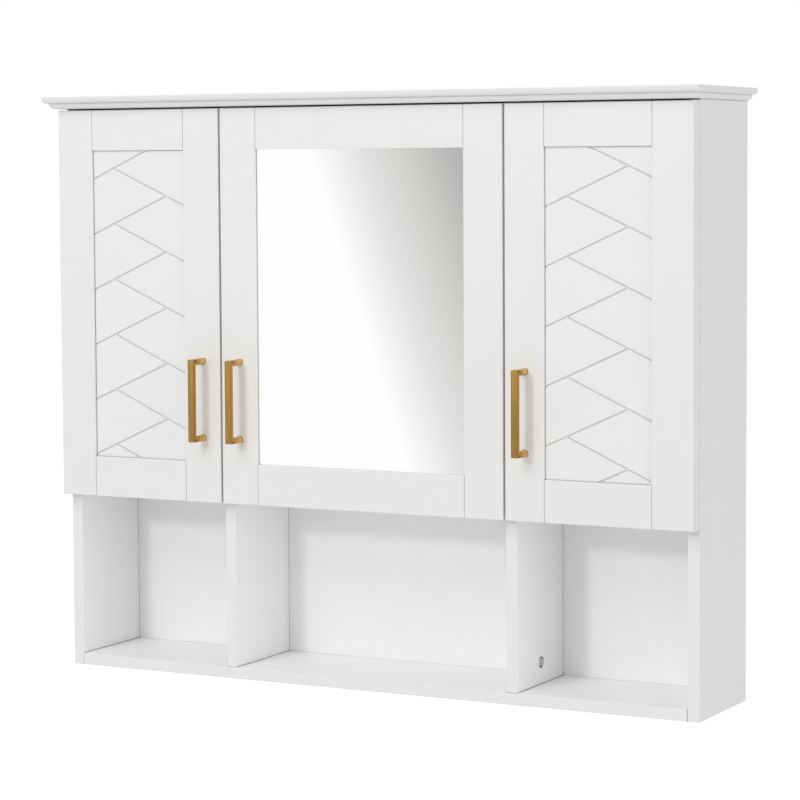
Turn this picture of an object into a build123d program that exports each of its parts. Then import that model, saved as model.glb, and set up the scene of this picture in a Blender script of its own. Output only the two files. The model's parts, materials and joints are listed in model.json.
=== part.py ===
from build123d import *
from dataclasses import dataclass
from math import floor, hypot, radians, tan
import os

# A wall-hung cabinet: three framed doors, the middle one with a mirror, over three
# open bays, under a moulded top. Lengths are in millimetres. The wall is the plane
# Y = 0 and the cabinet stands out from it towards -Y. X runs along the wall from the
# cabinet's middle, and Z = 0 is its underside.

os.makedirs("parts", exist_ok=True)

# Carcass boards
cabinet_width = 874.0  # over the two side panels
cabinet_height = 736.0  # to the top of the cornice
cabinet_depth = 150.0  # from the wall to the boards' front edges
board = 15.0  # thickness of every board
bay_height = 210.0  # clear height of the open bays
divider_spacing = 392.5  # between the middles of the two dividers
board_ease = 1.0  # rounding of the front edges
back_thickness = 3.0
back_reach = 5.0  # how far the back panel goes into its grooves
groove_side_clearance = 0.1
groove_end_clearance = 0.4

# Moulded top panel
top_thickness = 15.0
top_fillet = 1.0  # upright band under the top surface
upper_round_width = 5.0
upper_round_height = 7.0
moulding_step = 2.0  # flat shoulder between the two rounds
lower_round_width = 6.0
moulding_waste_margin = 1.0  # of the waste cut away, past the board's faces
moulding_reveal = 5.5  # from the door faces out to the foot of the moulding

# Hanging rail and the holes for the wall screws
hanging_rail_height = 80.0
wall_screw_spacing = 600.0
wall_screw_radius = 2.75
rail_dowel_spacing = 50.0

# Dowels, cam locks and their bolts
dowel_radius = 4.0
dowel_in_face = 10.0
dowel_in_end = 20.0
front_dowel_setback = 30.0  # setbacks run back from the carcass front
rear_dowel_setback = 105.0
dowel_stagger = 16.0  # keeps the dowels above a shelf off those below it
cam_setback = 67.0
cam_radius = 7.4
cam_thickness = 12.0
cam_from_end = 27.0  # from the board's end to the middle of its cam lock
cam_slot_length = 9.0
cam_slot_width = 1.6
cam_slot_depth = 1.6
cam_slot_turn = 45.0  # of the cross slot from the bolt's direction
bolt_radius = 3.0
bolt_neck_radius = 2.0
bolt_head_radius = 3.3
bolt_head_length = 4.0
bolt_neck_length = 3.0
bolt_thread = 11.0
bolt_passage_radius = 4.0  # bore that the bolt runs through in the board's end
bore_clearance = 0.1  # round a dowel, a cam lock or a screw
bore_depth_clearance = 0.5  # past the end of a dowel, a cam lock or a screw

# Adjustable shelves on pins
pin_rows = 5
pin_row_pitch = 32.0
pin_radius = 2.5
pin_in_board = 6.5
pin_ledge_length = 8.0
pin_ledge_width = 8.0
front_pin_setback = 28.0
rear_pin_setback = 112.0
shelf_side_clearance = 1.0
shelf_rear_clearance = 0.4
shelf_setback = 12.0

# Doors
door_thickness = 18.0
door_setoff = 2.0  # between the doors' backs and the carcass front
door_gap = 2.5  # between two doors
door_top_gap = 2.0  # between the doors and the moulded top
stile_width = 51.5
rail_width = 51.5
door_ease = 1.5  # rounding of a door's outer edges
joint_ease = 0.6  # rounding where stiles and rails meet
panel_recess = 3.0  # from the door's face back to its panel or mirror
channel_depth = 8.0  # of the channel that the frame holds its panel in
panel_edge_clearance = 0.5
panel_face_clearance = 0.1
panel_thickness = 9.0

# Herringbone grooves of the outer doors' panels
groove_pitch = 70.4
groove_angle = 24.2
groove_first_rise = 2.9  # from the bottom rail to the lowest rising groove
groove_branch = 30.5  # from the hinge stile to where a falling groove starts
groove_width = 2.6
groove_floor = 1.0
groove_depth = 1.3

# Mirror of the middle door
mirror_thickness = 4.0
mirror_arris = 0.5
backing_thickness = 3.0

# Handles
handle_centres = 96.0  # between the two screws
handle_rise = 130.0  # from the door's bottom edge to the handle's middle
handle_width = 9.0
handle_bar_thickness = 6.0
handle_projection = 28.0
handle_leg_height = 7.5
handle_ease = 0.7
handle_screw_radius = 2.0
handle_screw_bite = 9.0  # how far the screw goes into the leg
handle_screw_head_radius = 4.0
handle_screw_head_height = 2.3

# Cup hinges: a u distance runs in from the door's hinge edge, and a v distance runs
# back from the door's face
hinge_end_distance = 75.0  # from the door's ends to the middles of its hinges
pivot_u = 6.5
pivot_v = 5.8
hinge_pin_radius = 1.0
hinge_pin_length = 16.0
hinge_pin_clearance = 0.05
cup_edge_u = 3.0
cup_radius = 17.5
cup_wall = 0.6
cup_skin = 2.5  # of the door left in front of the cup
cup_ear_reach = 3.4  # from the pin in to the end of the ear that holds it
cup_flange_thickness = 1.0
cup_flange_start_u = 6.0
cup_flange_end_u = 35.0
cup_flange_height = 60.0
cup_flange_corner = 1.0
cup_screw_spacing = 48.0
cup_screw_u = 26.0
knuckle_radius = 2.2
knuckle_height = 7.2
knuckle_side_gap = 0.3
arm_thickness = 2.0
arm_u = 21.0
arm_height = 12.0
arm_shoulder = 2.0  # from the carcass front back to where the arm widens
arm_crank_length = 10.0
plate_block_height = 6.0
plate_block_length = 36.0
plate_wing_thickness = 2.5
plate_wing_width = 15.0
plate_wing_height = 48.0
plate_setback = 37.0  # from the carcass front to the plate's screws
plate_screw_spacing = 32.0
hinge_screw_radius = 1.75
hinge_screw_bite = 11.0
hinge_screw_head_radius = 3.4
hinge_screw_head_height = 1.4
arm_screw_radius = 2.0
arm_screw_bite = 4.0
arm_screw_head_radius = 3.6
arm_screw_head_height = 1.6

# Door bumpers
bumper_radius = 4.0
bumper_gap = 0.3
bumper_side_inset = 5.0
bumper_end_inset = 20.0

# Places worked out from the sizes above
front = -cabinet_depth
inner_half = cabinet_width / 2 - board
under_top = cabinet_height - top_thickness
shelf_bottom = board + bay_height
shelf_top = shelf_bottom + board
divider_x = divider_spacing / 2
back_rear = -board
back_front = back_rear - back_thickness
door_back = front - door_setoff
door_front = door_back - door_thickness
door_bottom = shelf_bottom
door_top = under_top - door_top_gap
opening_bottom = door_bottom + rail_width
opening_top = door_top - rail_width
moulding_overhang = upper_round_width + moulding_step + lower_round_width
top_half = cabinet_width / 2 + moulding_overhang
top_front = door_front - moulding_reveal - moulding_overhang
rail_middle = under_top - hanging_rail_height / 2
pin_middle = (shelf_top + under_top) / 2
pin_levels = [pin_middle + (row - (pin_rows - 1) / 2) * pin_row_pitch for row in range(pin_rows)]
shelf_level = pin_levels[pin_rows // 2]
adjustable_bottom = shelf_level + pin_radius
cup_u = cup_edge_u + cup_radius
cup_depth = door_thickness - cup_skin
carcass_v = door_thickness + door_setoff
plate_v = carcass_v + plate_setback
handle_half = handle_centres / 2 + handle_leg_height / 2


@dataclass
class BoardJoint:
    """The end of one board meeting the face of another."""

    x: float
    z: float
    into_end: tuple
    cam_side: tuple = None
    stagger: float = 0.0

    def plane(self, setback):
        """The meeting plane at one setback, facing into the board whose end it is."""
        return Plane(origin=(self.x, front + setback, self.z), z_dir=self.into_end)

    def dowel_planes(self):
        """The planes of the joint's two dowels."""
        near = self.plane(front_dowel_setback + self.stagger)
        return [near, self.plane(rear_dowel_setback - self.stagger)]

    def cam_plane(self):
        """The plane of the board's face where the cam lock sits, facing out of the board."""
        middle = Vector(self.x, front + cam_setback, self.z) + Vector(self.into_end) * cam_from_end
        return Plane(
            origin=middle + Vector(self.cam_side) * (board / 2),
            x_dir=self.into_end,
            z_dir=self.cam_side,
        )


@dataclass
class Door:
    """Where one door hangs: its hinge edge, the way in from it, and its width."""

    name: str
    hinge_x: float
    inward: int
    width: float
    face_u: float

    def x(self, u):
        """The X of a place that lies u in from the hinge edge."""
        return self.hinge_x + self.inward * u

    def span(self, low_u, high_u):
        """The X pair of a stretch between two distances from the hinge edge."""
        return sorted((self.x(low_u), self.x(high_u)))

    def level(self, z):
        """A level plane whose axes are u and v."""
        return Plane(
            origin=(self.hinge_x, door_front, z),
            x_dir=(self.inward, 0, 0),
            z_dir=(0, 0, self.inward),
        )

    def facing_back(self, u, v, z):
        """A plane at one place of the door that looks back to the wall."""
        return Plane(origin=(self.x(u), door_front + v, z), z_dir=(0, 1, 0))

    def handle_u(self):
        """The distance from the hinge edge to the handle, which is mid-stile."""
        return self.width - stile_width / 2


outer_width = cabinet_width / 2 - divider_x - door_gap / 2
middle_width = divider_spacing - door_gap
middle_face_u = board / 2 - door_gap / 2
left_door = Door("left", -cabinet_width / 2, 1, outer_width, board)
middle_door = Door("middle", divider_x - door_gap / 2, -1, middle_width, middle_face_u)
right_door = Door("right", cabinet_width / 2, -1, outer_width, board)
doors = [left_door, middle_door, right_door]
hinge_levels = [door_bottom + hinge_end_distance, door_top - hinge_end_distance]
handle_level = door_bottom + handle_rise
screw_levels = [handle_level - handle_centres / 2, handle_level + handle_centres / 2]


def save(builder, name):
    """Label one finished piece and write it to its own file."""
    builder.part.label = name
    export_step(builder.part, f"parts/{name}.step")


def block(x, y, z, mode=Mode.ADD):
    """Add or cut the block that spans three (low, high) pairs."""
    with BuildSketch(Plane.XY.offset(z[0])) as outline:
        with Locations(((x[0] + x[1]) / 2, (y[0] + y[1]) / 2)):
            Rectangle(x[1] - x[0], y[1] - y[0])
    extrude(outline.sketch, amount=z[1] - z[0], mode=mode)


def bars(planes, radius, low, high, mode=Mode.ADD):
    """Add or cut a round bar along each plane's normal, from low to high."""
    with BuildSketch(*[plane.offset(low) for plane in planes]) as section:
        Circle(radius)
    extrude(section.sketch, amount=high - low, mode=mode)


def front_edges(*sides):
    """The edges of the front face that lie on the named sides."""
    face = faces().sort_by(Axis.Y)[0]
    upright = face.edges().filter_by(Axis.Z).sort_by(Axis.X)
    level = face.edges().filter_by(Axis.X).sort_by(Axis.Z)
    named = {"left": upright[0], "right": upright[-1], "bottom": level[0], "top": level[-1]}
    return [named[side] for side in sides]


# Joints between the boards
up, down, left, right = (0, 0, 1), (0, 0, -1), (-1, 0, 0), (1, 0, 0)
board_joints = []
for sign, outward, homeward in ((-1, left, right), (1, right, left)):
    side_x = sign * (inner_half + board / 2)
    board_joints += [
        BoardJoint(sign * inner_half, board / 2, homeward, cam_side=down),
        BoardJoint(sign * inner_half, shelf_bottom + board / 2, homeward, cam_side=up),
        BoardJoint(side_x, under_top, down, cam_side=homeward),
        BoardJoint(sign * divider_x, board, up, cam_side=outward),
        BoardJoint(sign * divider_x, shelf_bottom, down),
        BoardJoint(sign * divider_x, shelf_top, up, cam_side=outward, stagger=dowel_stagger),
        BoardJoint(sign * divider_x, under_top, down, cam_side=outward),
    ]

cam_joints = [joint for joint in board_joints if joint.cam_side]
bolt_planes = [joint.plane(cam_setback) for joint in cam_joints]
cam_planes = [joint.cam_plane() for joint in cam_joints]
dowel_planes = [plane for joint in board_joints for plane in joint.dowel_planes()]
for sign, homeward in ((-1, right), (1, left)):
    for rise in (-rail_dowel_spacing / 2, rail_dowel_spacing / 2):
        place = (sign * inner_half, -board / 2, rail_middle + rise)
        dowel_planes.append(Plane(origin=place, z_dir=homeward))

with BuildPart() as joinery_bores:
    bars(
        dowel_planes,
        dowel_radius + bore_clearance,
        -dowel_in_face - bore_depth_clearance,
        dowel_in_end + bore_depth_clearance,
    )
    bars(bolt_planes, bolt_radius + bore_clearance, -bolt_thread - bore_depth_clearance, 0)
    bars(bolt_planes, bolt_passage_radius, 0, cam_from_end)
    bars(cam_planes, cam_radius + bore_clearance, -cam_thickness - bore_depth_clearance, 0)

# Faces that carry shelf pins, each as (X of the face, direction into the board)
pin_faces = [
    (-inner_half, left),
    (-divider_x - board / 2, right),
    (-divider_x + board / 2, left),
    (divider_x - board / 2, right),
    (divider_x + board / 2, left),
    (inner_half, right),
]


def pin_planes(levels):
    """The planes of the shelf pins at some levels, each facing into its board."""
    return [
        Plane(origin=(x, front + setback, z), x_dir=(0, 1, 0), z_dir=into_board)
        for x, into_board in pin_faces
        for setback in (front_pin_setback, rear_pin_setback)
        for z in levels
    ]


def plate_screw_planes(door):
    """The planes of a door's hinge plate screws, on the carcass face and facing into it."""
    return [
        Plane(
            origin=(door.x(door.face_u), door_front + plate_v, z + rise),
            z_dir=(-door.inward, 0, 0),
        )
        for z in hinge_levels
        for rise in (-plate_screw_spacing / 2, plate_screw_spacing / 2)
    ]


def arm_seats(door):
    """The planes where a door's hinge arms rest on their plates, facing into the carcass."""
    return [
        Plane(
            origin=(door.x(door.face_u + plate_block_height), door_front + plate_v, z),
            z_dir=(-door.inward, 0, 0),
        )
        for z in hinge_levels
    ]


def pin_axes(door):
    """The planes through the middles of a door's hinge pins, square to the pins."""
    return [
        Plane(origin=(door.x(pivot_u), door_front + pivot_v, z), z_dir=(0, 0, 1))
        for z in hinge_levels
    ]


all_plate_screws = [plane for door in doors for plane in plate_screw_planes(door)]
all_arm_seats = [plane for door in doors for plane in arm_seats(door)]

with BuildPart() as fitting_bores:
    bars(pin_planes(pin_levels), pin_radius + bore_clearance, 0, pin_in_board + bore_depth_clearance)
    bars(
        all_plate_screws,
        hinge_screw_radius + bore_clearance,
        0,
        hinge_screw_bite + bore_depth_clearance,
    )

back_groove_y = (back_front - groove_side_clearance, back_rear + groove_side_clearance)
groove_reach = back_reach + groove_end_clearance

with BuildPart() as back_groove:
    block(
        (-inner_half - groove_reach, inner_half + groove_reach),
        back_groove_y,
        (board - groove_reach, under_top + groove_reach),
    )

# Side panels, each with a groove for the back panel on its inner face
for name, sign in (("left_side_panel", -1), ("right_side_panel", 1)):
    with BuildPart() as side_panel:
        block(sorted((sign * inner_half, sign * cabinet_width / 2)), (front, 0), (0, under_top))
        fillet(front_edges("left", "right"), board_ease)
        add(back_groove.part, mode=Mode.SUBTRACT)
        add(joinery_bores.part, mode=Mode.SUBTRACT)
        add(fitting_bores.part, mode=Mode.SUBTRACT)
    save(side_panel, name)

# Bottom panel
with BuildPart() as bottom_panel:
    block((-inner_half, inner_half), (front, 0), (0, board))
    fillet(front_edges("top", "bottom"), board_ease)
    add(back_groove.part, mode=Mode.SUBTRACT)
    add(joinery_bores.part, mode=Mode.SUBTRACT)
save(bottom_panel, "bottom_panel")

# Moulded top panel: two rounds with a step between them run round its front and ends
with BuildPart() as top_panel:
    block((-top_half, top_half), (top_front, 0), (under_top, cabinet_height))
    with BuildLine(Plane.XY.offset(cabinet_height)) as moulding_run:
        Polyline(
            (top_half, moulding_waste_margin),
            (top_half, top_front),
            (-top_half, top_front),
            (-top_half, moulding_waste_margin),
        )
    run_start = Plane(
        origin=(top_half, moulding_waste_margin, cabinet_height),
        x_dir=(1, 0, 0),
        z_dir=(0, -1, 0),
    )
    upper_round_foot = -top_fillet - upper_round_height
    lower_round_head = -upper_round_width - moulding_step
    lower_round_height = top_thickness + upper_round_foot
    with BuildSketch(run_start) as moulding_waste:
        with BuildLine():
            EllipticalCenterArc(
                (-upper_round_width, -top_fillet),
                upper_round_width,
                upper_round_height,
                start_angle=270,
                arc_size=90,
            )
            Line((-upper_round_width, upper_round_foot), (lower_round_head, upper_round_foot))
            EllipticalCenterArc(
                (-moulding_overhang, upper_round_foot),
                lower_round_width,
                lower_round_height,
                start_angle=270,
                arc_size=90,
            )
            Polyline(
                (-moulding_overhang, -top_thickness),
                (-moulding_overhang, -top_thickness - moulding_waste_margin),
                (moulding_waste_margin, -top_thickness - moulding_waste_margin),
                (moulding_waste_margin, -top_fillet),
                (0, -top_fillet),
            )
        make_face()
    sweep(moulding_waste.sketch, moulding_run.line, transition=Transition.RIGHT, mode=Mode.SUBTRACT)
    add(back_groove.part, mode=Mode.SUBTRACT)
    add(joinery_bores.part, mode=Mode.SUBTRACT)
save(top_panel, "top_panel")

# Fixed shelf between the doors' space and the open bays
with BuildPart() as fixed_shelf:
    block((-inner_half, inner_half), (front, back_front), (shelf_bottom, shelf_top))
    fillet(front_edges("top", "bottom"), board_ease)
    add(joinery_bores.part, mode=Mode.SUBTRACT)
save(fixed_shelf, "fixed_shelf")

# Dividers below and above the fixed shelf
for tier, low, high in (("lower", board, shelf_bottom), ("upper", shelf_top, under_top)):
    for side, sign in (("left", -1), ("right", 1)):
        middle_x = sign * divider_x
        with BuildPart() as divider:
            block((middle_x - board / 2, middle_x + board / 2), (front, back_front), (low, high))
            fillet(front_edges("left", "right"), board_ease)
            add(joinery_bores.part, mode=Mode.SUBTRACT)
            add(fitting_bores.part, mode=Mode.SUBTRACT)
        save(divider, f"{tier}_{side}_divider")

# Hanging rail behind the back panel, and the holes for the wall screws in both
wall_screw_planes = [
    Plane(origin=(sign * wall_screw_spacing / 2, 0, rail_middle), z_dir=(0, -1, 0))
    for sign in (-1, 1)
]
with BuildPart() as hanging_rail:
    block((-inner_half, inner_half), (-board, 0), (under_top - hanging_rail_height, under_top))
    bars(wall_screw_planes, wall_screw_radius, 0, board, Mode.SUBTRACT)
    add(joinery_bores.part, mode=Mode.SUBTRACT)
save(hanging_rail, "hanging_rail")

# Back panel, held in grooves all round
with BuildPart() as back_panel:
    block(
        (-inner_half - back_reach, inner_half + back_reach),
        (back_front, back_rear),
        (board - back_reach, under_top + back_reach),
    )
    bars(wall_screw_planes, wall_screw_radius, 0, board + back_thickness, Mode.SUBTRACT)
save(back_panel, "back_panel")

# Dowels
with BuildPart() as carcass_dowels:
    bars(dowel_planes, dowel_radius, -dowel_in_face, dowel_in_end)
save(carcass_dowels, "carcass_dowels")

# Cam bolts: a threaded shank, a neck and the head that the cam lock pulls on
head_start = cam_from_end - bolt_head_length / 2
with BuildPart() as cam_bolts:
    bars(bolt_planes, bolt_radius, -bolt_thread, head_start - bolt_neck_length)
    bars(bolt_planes, bolt_neck_radius, head_start - bolt_neck_length, head_start)
    bars(bolt_planes, bolt_head_radius, head_start, head_start + bolt_head_length)
save(cam_bolts, "cam_bolts")

# Cam locks: a drum with a way in for the bolt's head and a cross slot in its face
with BuildPart() as cam_locks:
    bars(cam_planes, cam_radius, -cam_thickness, 0)
    bars(
        bolt_planes,
        bolt_passage_radius,
        cam_from_end - 2 * cam_radius,
        cam_from_end + bolt_head_length / 2 + bore_depth_clearance,
        Mode.SUBTRACT,
    )
    for plane in cam_planes:
        with BuildSketch(plane) as cross_slot:
            Rectangle(cam_slot_length, cam_slot_width, rotation=cam_slot_turn)
            Rectangle(cam_slot_length, cam_slot_width, rotation=-cam_slot_turn)
        extrude(cross_slot.sketch, amount=-cam_slot_depth, mode=Mode.SUBTRACT)
save(cam_locks, "cam_locks")

# Shelf pins: a stud in the board and a ledge under the shelf
with BuildPart() as shelf_pins:
    for plane in pin_planes([shelf_level]):
        bars([plane], pin_radius, 0, pin_in_board)
        with BuildSketch(plane) as ledge:
            Rectangle(pin_ledge_width, 2 * pin_radius)
        extrude(ledge.sketch, amount=-pin_ledge_length)
save(shelf_pins, "shelf_pins")

# Adjustable shelves, one behind each door
shelf_spans = {
    "left": (-inner_half, -divider_x - board / 2),
    "middle": (-divider_x + board / 2, divider_x - board / 2),
    "right": (divider_x + board / 2, inner_half),
}
for name, (low, high) in shelf_spans.items():
    with BuildPart() as adjustable_shelf:
        block(
            (low + shelf_side_clearance, high - shelf_side_clearance),
            (front + shelf_setback, back_front - shelf_rear_clearance),
            (adjustable_bottom, adjustable_bottom + board),
        )
        fillet(front_edges("top", "bottom"), board_ease)
    save(adjustable_shelf, f"{name}_adjustable_shelf")

# Hinge plates on the carcass: a wing for the screws and a block for the arm
with BuildPart() as hinge_plates:
    for door in doors:
        for z in hinge_levels:
            block(
                door.span(door.face_u, door.face_u + plate_wing_thickness),
                (
                    door_front + plate_v - plate_wing_width / 2,
                    door_front + plate_v + plate_wing_width / 2,
                ),
                (z - plate_wing_height / 2, z + plate_wing_height / 2),
            )
            block(
                door.span(door.face_u, door.face_u + plate_block_height),
                (
                    door_front + plate_v - plate_block_length / 2,
                    door_front + plate_v + plate_block_length / 2,
                ),
                (z - arm_height / 2, z + arm_height / 2),
            )
    bars(
        all_plate_screws,
        hinge_screw_radius + bore_clearance,
        -plate_wing_thickness,
        0,
        Mode.SUBTRACT,
    )
    bars(
        all_arm_seats,
        arm_screw_radius + bore_clearance,
        0,
        arm_screw_bite + bore_depth_clearance,
        Mode.SUBTRACT,
    )
save(hinge_plates, "hinge_plates")

with BuildPart() as hinge_plate_screws:
    head_seat = -plate_wing_thickness
    bars(all_plate_screws, hinge_screw_radius, head_seat, hinge_screw_bite)
    bars(
        all_plate_screws,
        hinge_screw_head_radius,
        head_seat - hinge_screw_head_height,
        head_seat,
    )
save(hinge_plate_screws, "hinge_plate_screws")

with BuildPart() as hinge_arm_screws:
    bars(all_arm_seats, arm_screw_radius, -arm_thickness, arm_screw_bite)
    bars(
        all_arm_seats,
        arm_screw_head_radius,
        -arm_thickness - arm_screw_head_height,
        -arm_thickness,
    )
save(hinge_arm_screws, "hinge_arm_screws")

# Hinge arms: a knuckle on the pin, then in past the door's edge and back to the plate.
# Where the carcass face lies nearer the hinge edge, the arm is cranked to meet it.
wide_v = carcass_v + arm_shoulder
crank_v = wide_v + arm_crank_length
arm_end_v = plate_v + plate_block_length / 2
for door in doors:
    rear_u = door.face_u + plate_block_height
    with BuildPart() as hinge_arms:
        for z in hinge_levels:
            with BuildSketch(door.level(z)) as narrow_part:
                with BuildLine():
                    Polyline(
                        (pivot_u, pivot_v - arm_thickness / 2),
                        (arm_u + arm_thickness, pivot_v - arm_thickness / 2),
                        (arm_u + arm_thickness, wide_v),
                        (arm_u, wide_v),
                        (arm_u, pivot_v + arm_thickness / 2),
                        (pivot_u, pivot_v + arm_thickness / 2),
                        close=True,
                    )
                make_face()
                with Locations((pivot_u, pivot_v)):
                    Circle(knuckle_radius)
                    Circle(hinge_pin_radius + hinge_pin_clearance, mode=Mode.SUBTRACT)
            extrude(narrow_part.sketch, amount=knuckle_height / 2, both=True)
            with BuildSketch(door.level(z)) as wide_part:
                with BuildLine():
                    Polyline(
                        (arm_u, wide_v),
                        (arm_u + arm_thickness, wide_v),
                        (rear_u + arm_thickness, crank_v),
                        (rear_u + arm_thickness, arm_end_v),
                        (rear_u, arm_end_v),
                        (rear_u, crank_v),
                        close=True,
                    )
                make_face()
            extrude(wide_part.sketch, amount=arm_height / 2, both=True)
        bars(
            arm_seats(door),
            arm_screw_radius + bore_clearance,
            -arm_thickness,
            0,
            Mode.SUBTRACT,
        )
    save(hinge_arms, f"{door.name}_hinge_arms")


def cup_screw_planes(door):
    """The planes of a door's cup screws, on the door's back and looking back."""
    return [
        door.facing_back(cup_screw_u, door_thickness, z + rise)
        for z in hinge_levels
        for rise in (-cup_screw_spacing / 2, cup_screw_spacing / 2)
    ]


def make_door_frame(door, channel_end_v):
    """Write a door's two stiles and two rails, channelled to hold its panel or mirror."""
    y_span = (door_front, door_back)
    channel_y = (door_front + panel_recess, door_front + channel_end_v)
    rail_span = door.span(stile_width, door.width - stile_width)
    tongue_span = door.span(stile_width - channel_depth, door.width - stile_width + channel_depth)
    hinge_side, handle_side = ("left", "right") if door.inward > 0 else ("right", "left")

    with BuildPart() as hinge_stile:
        block(door.span(0, stile_width), y_span, (door_bottom, door_top))
        fillet(front_edges(handle_side), joint_ease)
        fillet(front_edges(hinge_side, "top", "bottom"), door_ease)
        channel = door.span(stile_width - channel_depth, stile_width)
        block(channel, channel_y, (door_bottom, door_top), Mode.SUBTRACT)
        cup_planes = [door.facing_back(cup_u, door_thickness, z) for z in hinge_levels]
        bars(cup_planes, cup_radius + bore_clearance, -cup_depth, 0, Mode.SUBTRACT)
        bars(
            cup_screw_planes(door),
            hinge_screw_radius + bore_clearance,
            -hinge_screw_bite - bore_depth_clearance,
            0,
            Mode.SUBTRACT,
        )
    save(hinge_stile, f"{door.name}_door_hinge_stile")

    with BuildPart() as handle_stile:
        block(door.span(door.width - stile_width, door.width), y_span, (door_bottom, door_top))
        fillet(front_edges(hinge_side), joint_ease)
        fillet(front_edges(handle_side, "top", "bottom"), door_ease)
        channel = door.span(door.width - stile_width, door.width - stile_width + channel_depth)
        block(channel, channel_y, (door_bottom, door_top), Mode.SUBTRACT)
        screw_planes = [door.facing_back(door.handle_u(), 0, z) for z in screw_levels]
        bars(
            screw_planes,
            handle_screw_radius + bore_clearance,
            0,
            door_thickness,
            Mode.SUBTRACT,
        )
    save(handle_stile, f"{door.name}_door_handle_stile")

    rails = (
        ("top_rail", opening_top, door_top, "top", "bottom"),
        ("bottom_rail", door_bottom, opening_bottom, "bottom", "top"),
    )
    for name, low, high, outer, inner in rails:
        channel_z = (low, low + channel_depth) if inner == "bottom" else (high - channel_depth, high)
        with BuildPart() as rail:
            block(rail_span, y_span, (low, high))
            fillet(front_edges("left", "right", inner), joint_ease)
            fillet(front_edges(outer), door_ease)
            block(tongue_span, channel_y, (low, high))
            block(tongue_span, channel_y, channel_z, Mode.SUBTRACT)
        save(rail, f"{door.name}_door_{name}")


def make_grooved_panel(door):
    """Write a door's panel, with its herringbone of rising and falling grooves."""
    reach = channel_depth - panel_edge_clearance
    face_y = door_front + panel_recess + panel_face_clearance
    opening_width = door.width - 2 * stile_width
    slope = tan(radians(groove_angle))
    overlap = groove_pitch / (2 * slope)

    def cut_groove(start, end):
        """Cut one groove between two places, each (in from the hinge stile, Z)."""
        run = end[0] - start[0]
        climb = end[1] - start[1]
        along = Vector(door.inward * run, 0, climb)
        section_plane = Plane(
            origin=(door.x(stile_width + start[0]), face_y, start[1]),
            x_dir=(0, 1, 0),
            z_dir=along,
        )
        with BuildSketch(section_plane) as section:
            with BuildLine():
                Polyline(
                    (0, groove_width / 2),
                    (groove_depth, groove_floor / 2),
                    (groove_depth, -groove_floor / 2),
                    (0, -groove_width / 2),
                    close=True,
                )
            make_face()
        extrude(section.sketch, amount=hypot(run, climb), mode=Mode.SUBTRACT)

    with BuildPart() as panel:
        block(
            door.span(stile_width - reach, door.width - stile_width + reach),
            (face_y, face_y + panel_thickness),
            (opening_bottom - reach, opening_top + reach),
        )
        first = opening_bottom + groove_first_rise
        for row in range(floor((opening_top - first) / groove_pitch) + 1):
            rise = first + row * groove_pitch
            branch = (groove_branch, rise + slope * groove_branch)
            far = (groove_branch + overlap, rise + slope * (groove_branch + overlap))
            edge = (-reach, rise - slope * reach)
            other_edge = opening_width + reach
            fall = (other_edge, branch[1] - slope * (other_edge - groove_branch))
            cut_groove(edge, far)
            cut_groove(branch, fall)
    save(panel, f"{door.name}_door_panel")


def make_mirror(door):
    """Write the mirror, its backing board and the beads that hold both in the frame."""
    reach = channel_depth - panel_edge_clearance
    glass_front = door_front + panel_recess + panel_face_clearance
    glass_back = glass_front + mirror_thickness
    backing_back = glass_back + backing_thickness
    x_span = door.span(stile_width - reach, door.width - stile_width + reach)
    z_span = (opening_bottom - reach, opening_top + reach)

    with BuildPart() as mirror_glass:
        block(x_span, (glass_front, glass_back), z_span)
        chamfer(faces().sort_by(Axis.Y)[0].edges(), mirror_arris)
    save(mirror_glass, "mirror_glass")

    with BuildPart() as mirror_backing:
        block(x_span, (glass_back, backing_back), z_span)
    save(mirror_backing, "mirror_backing")

    with BuildPart() as mirror_beads:
        for low, high in ((x_span[0], x_span[0] + reach), (x_span[1] - reach, x_span[1])):
            block((low, high), (backing_back, door_back), z_span)
        between_x = (
            x_span[0] + reach + panel_face_clearance,
            x_span[1] - reach - panel_face_clearance,
        )
        for low, high in ((z_span[0], z_span[0] + reach), (z_span[1] - reach, z_span[1])):
            block(between_x, (backing_back, door_back), (low, high))
    save(mirror_beads, "mirror_beads")


def make_handle(door):
    """Write a door's handle: a flat bar on two legs, each leg round on its inner side."""
    handle_x = door.x(door.handle_u())
    bar_front = door_front - handle_projection
    bar_back = bar_front + handle_bar_thickness
    half_width = handle_width / 2
    with BuildPart() as handle:
        block(
            (handle_x - half_width, handle_x + half_width),
            (bar_front, bar_back),
            (handle_level - handle_half, handle_level + handle_half),
        )
        fillet(edges(), handle_ease)
        for sign in (-1, 1):
            inner_end = handle_level + sign * (handle_half - handle_leg_height)
            leg_plane = Plane(
                origin=(handle_x, door_front, inner_end),
                x_dir=(1, 0, 0),
                z_dir=(0, -1, 0),
            )
            with BuildSketch(leg_plane) as leg:
                with BuildLine():
                    ThreePointArc(
                        (-half_width, sign * half_width),
                        (0, 0),
                        (half_width, sign * half_width),
                    )
                    Polyline(
                        (half_width, sign * half_width),
                        (half_width, sign * handle_leg_height),
                        (-half_width, sign * handle_leg_height),
                        (-half_width, sign * half_width),
                    )
                make_face()
            extrude(leg.sketch, amount=handle_projection - handle_bar_thickness / 2)
        bars(
            [door.facing_back(door.handle_u(), 0, z) for z in screw_levels],
            handle_screw_radius + bore_clearance,
            -handle_screw_bite - bore_depth_clearance,
            0,
            Mode.SUBTRACT,
        )
    save(handle, f"{door.name}_handle")

    with BuildPart() as handle_screws:
        seats = [door.facing_back(door.handle_u(), door_thickness, z) for z in screw_levels]
        bars(seats, handle_screw_radius, -door_thickness - handle_screw_bite, 0)
        bars(seats, handle_screw_head_radius, 0, handle_screw_head_height)
    save(handle_screws, f"{door.name}_handle_screws")


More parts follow.
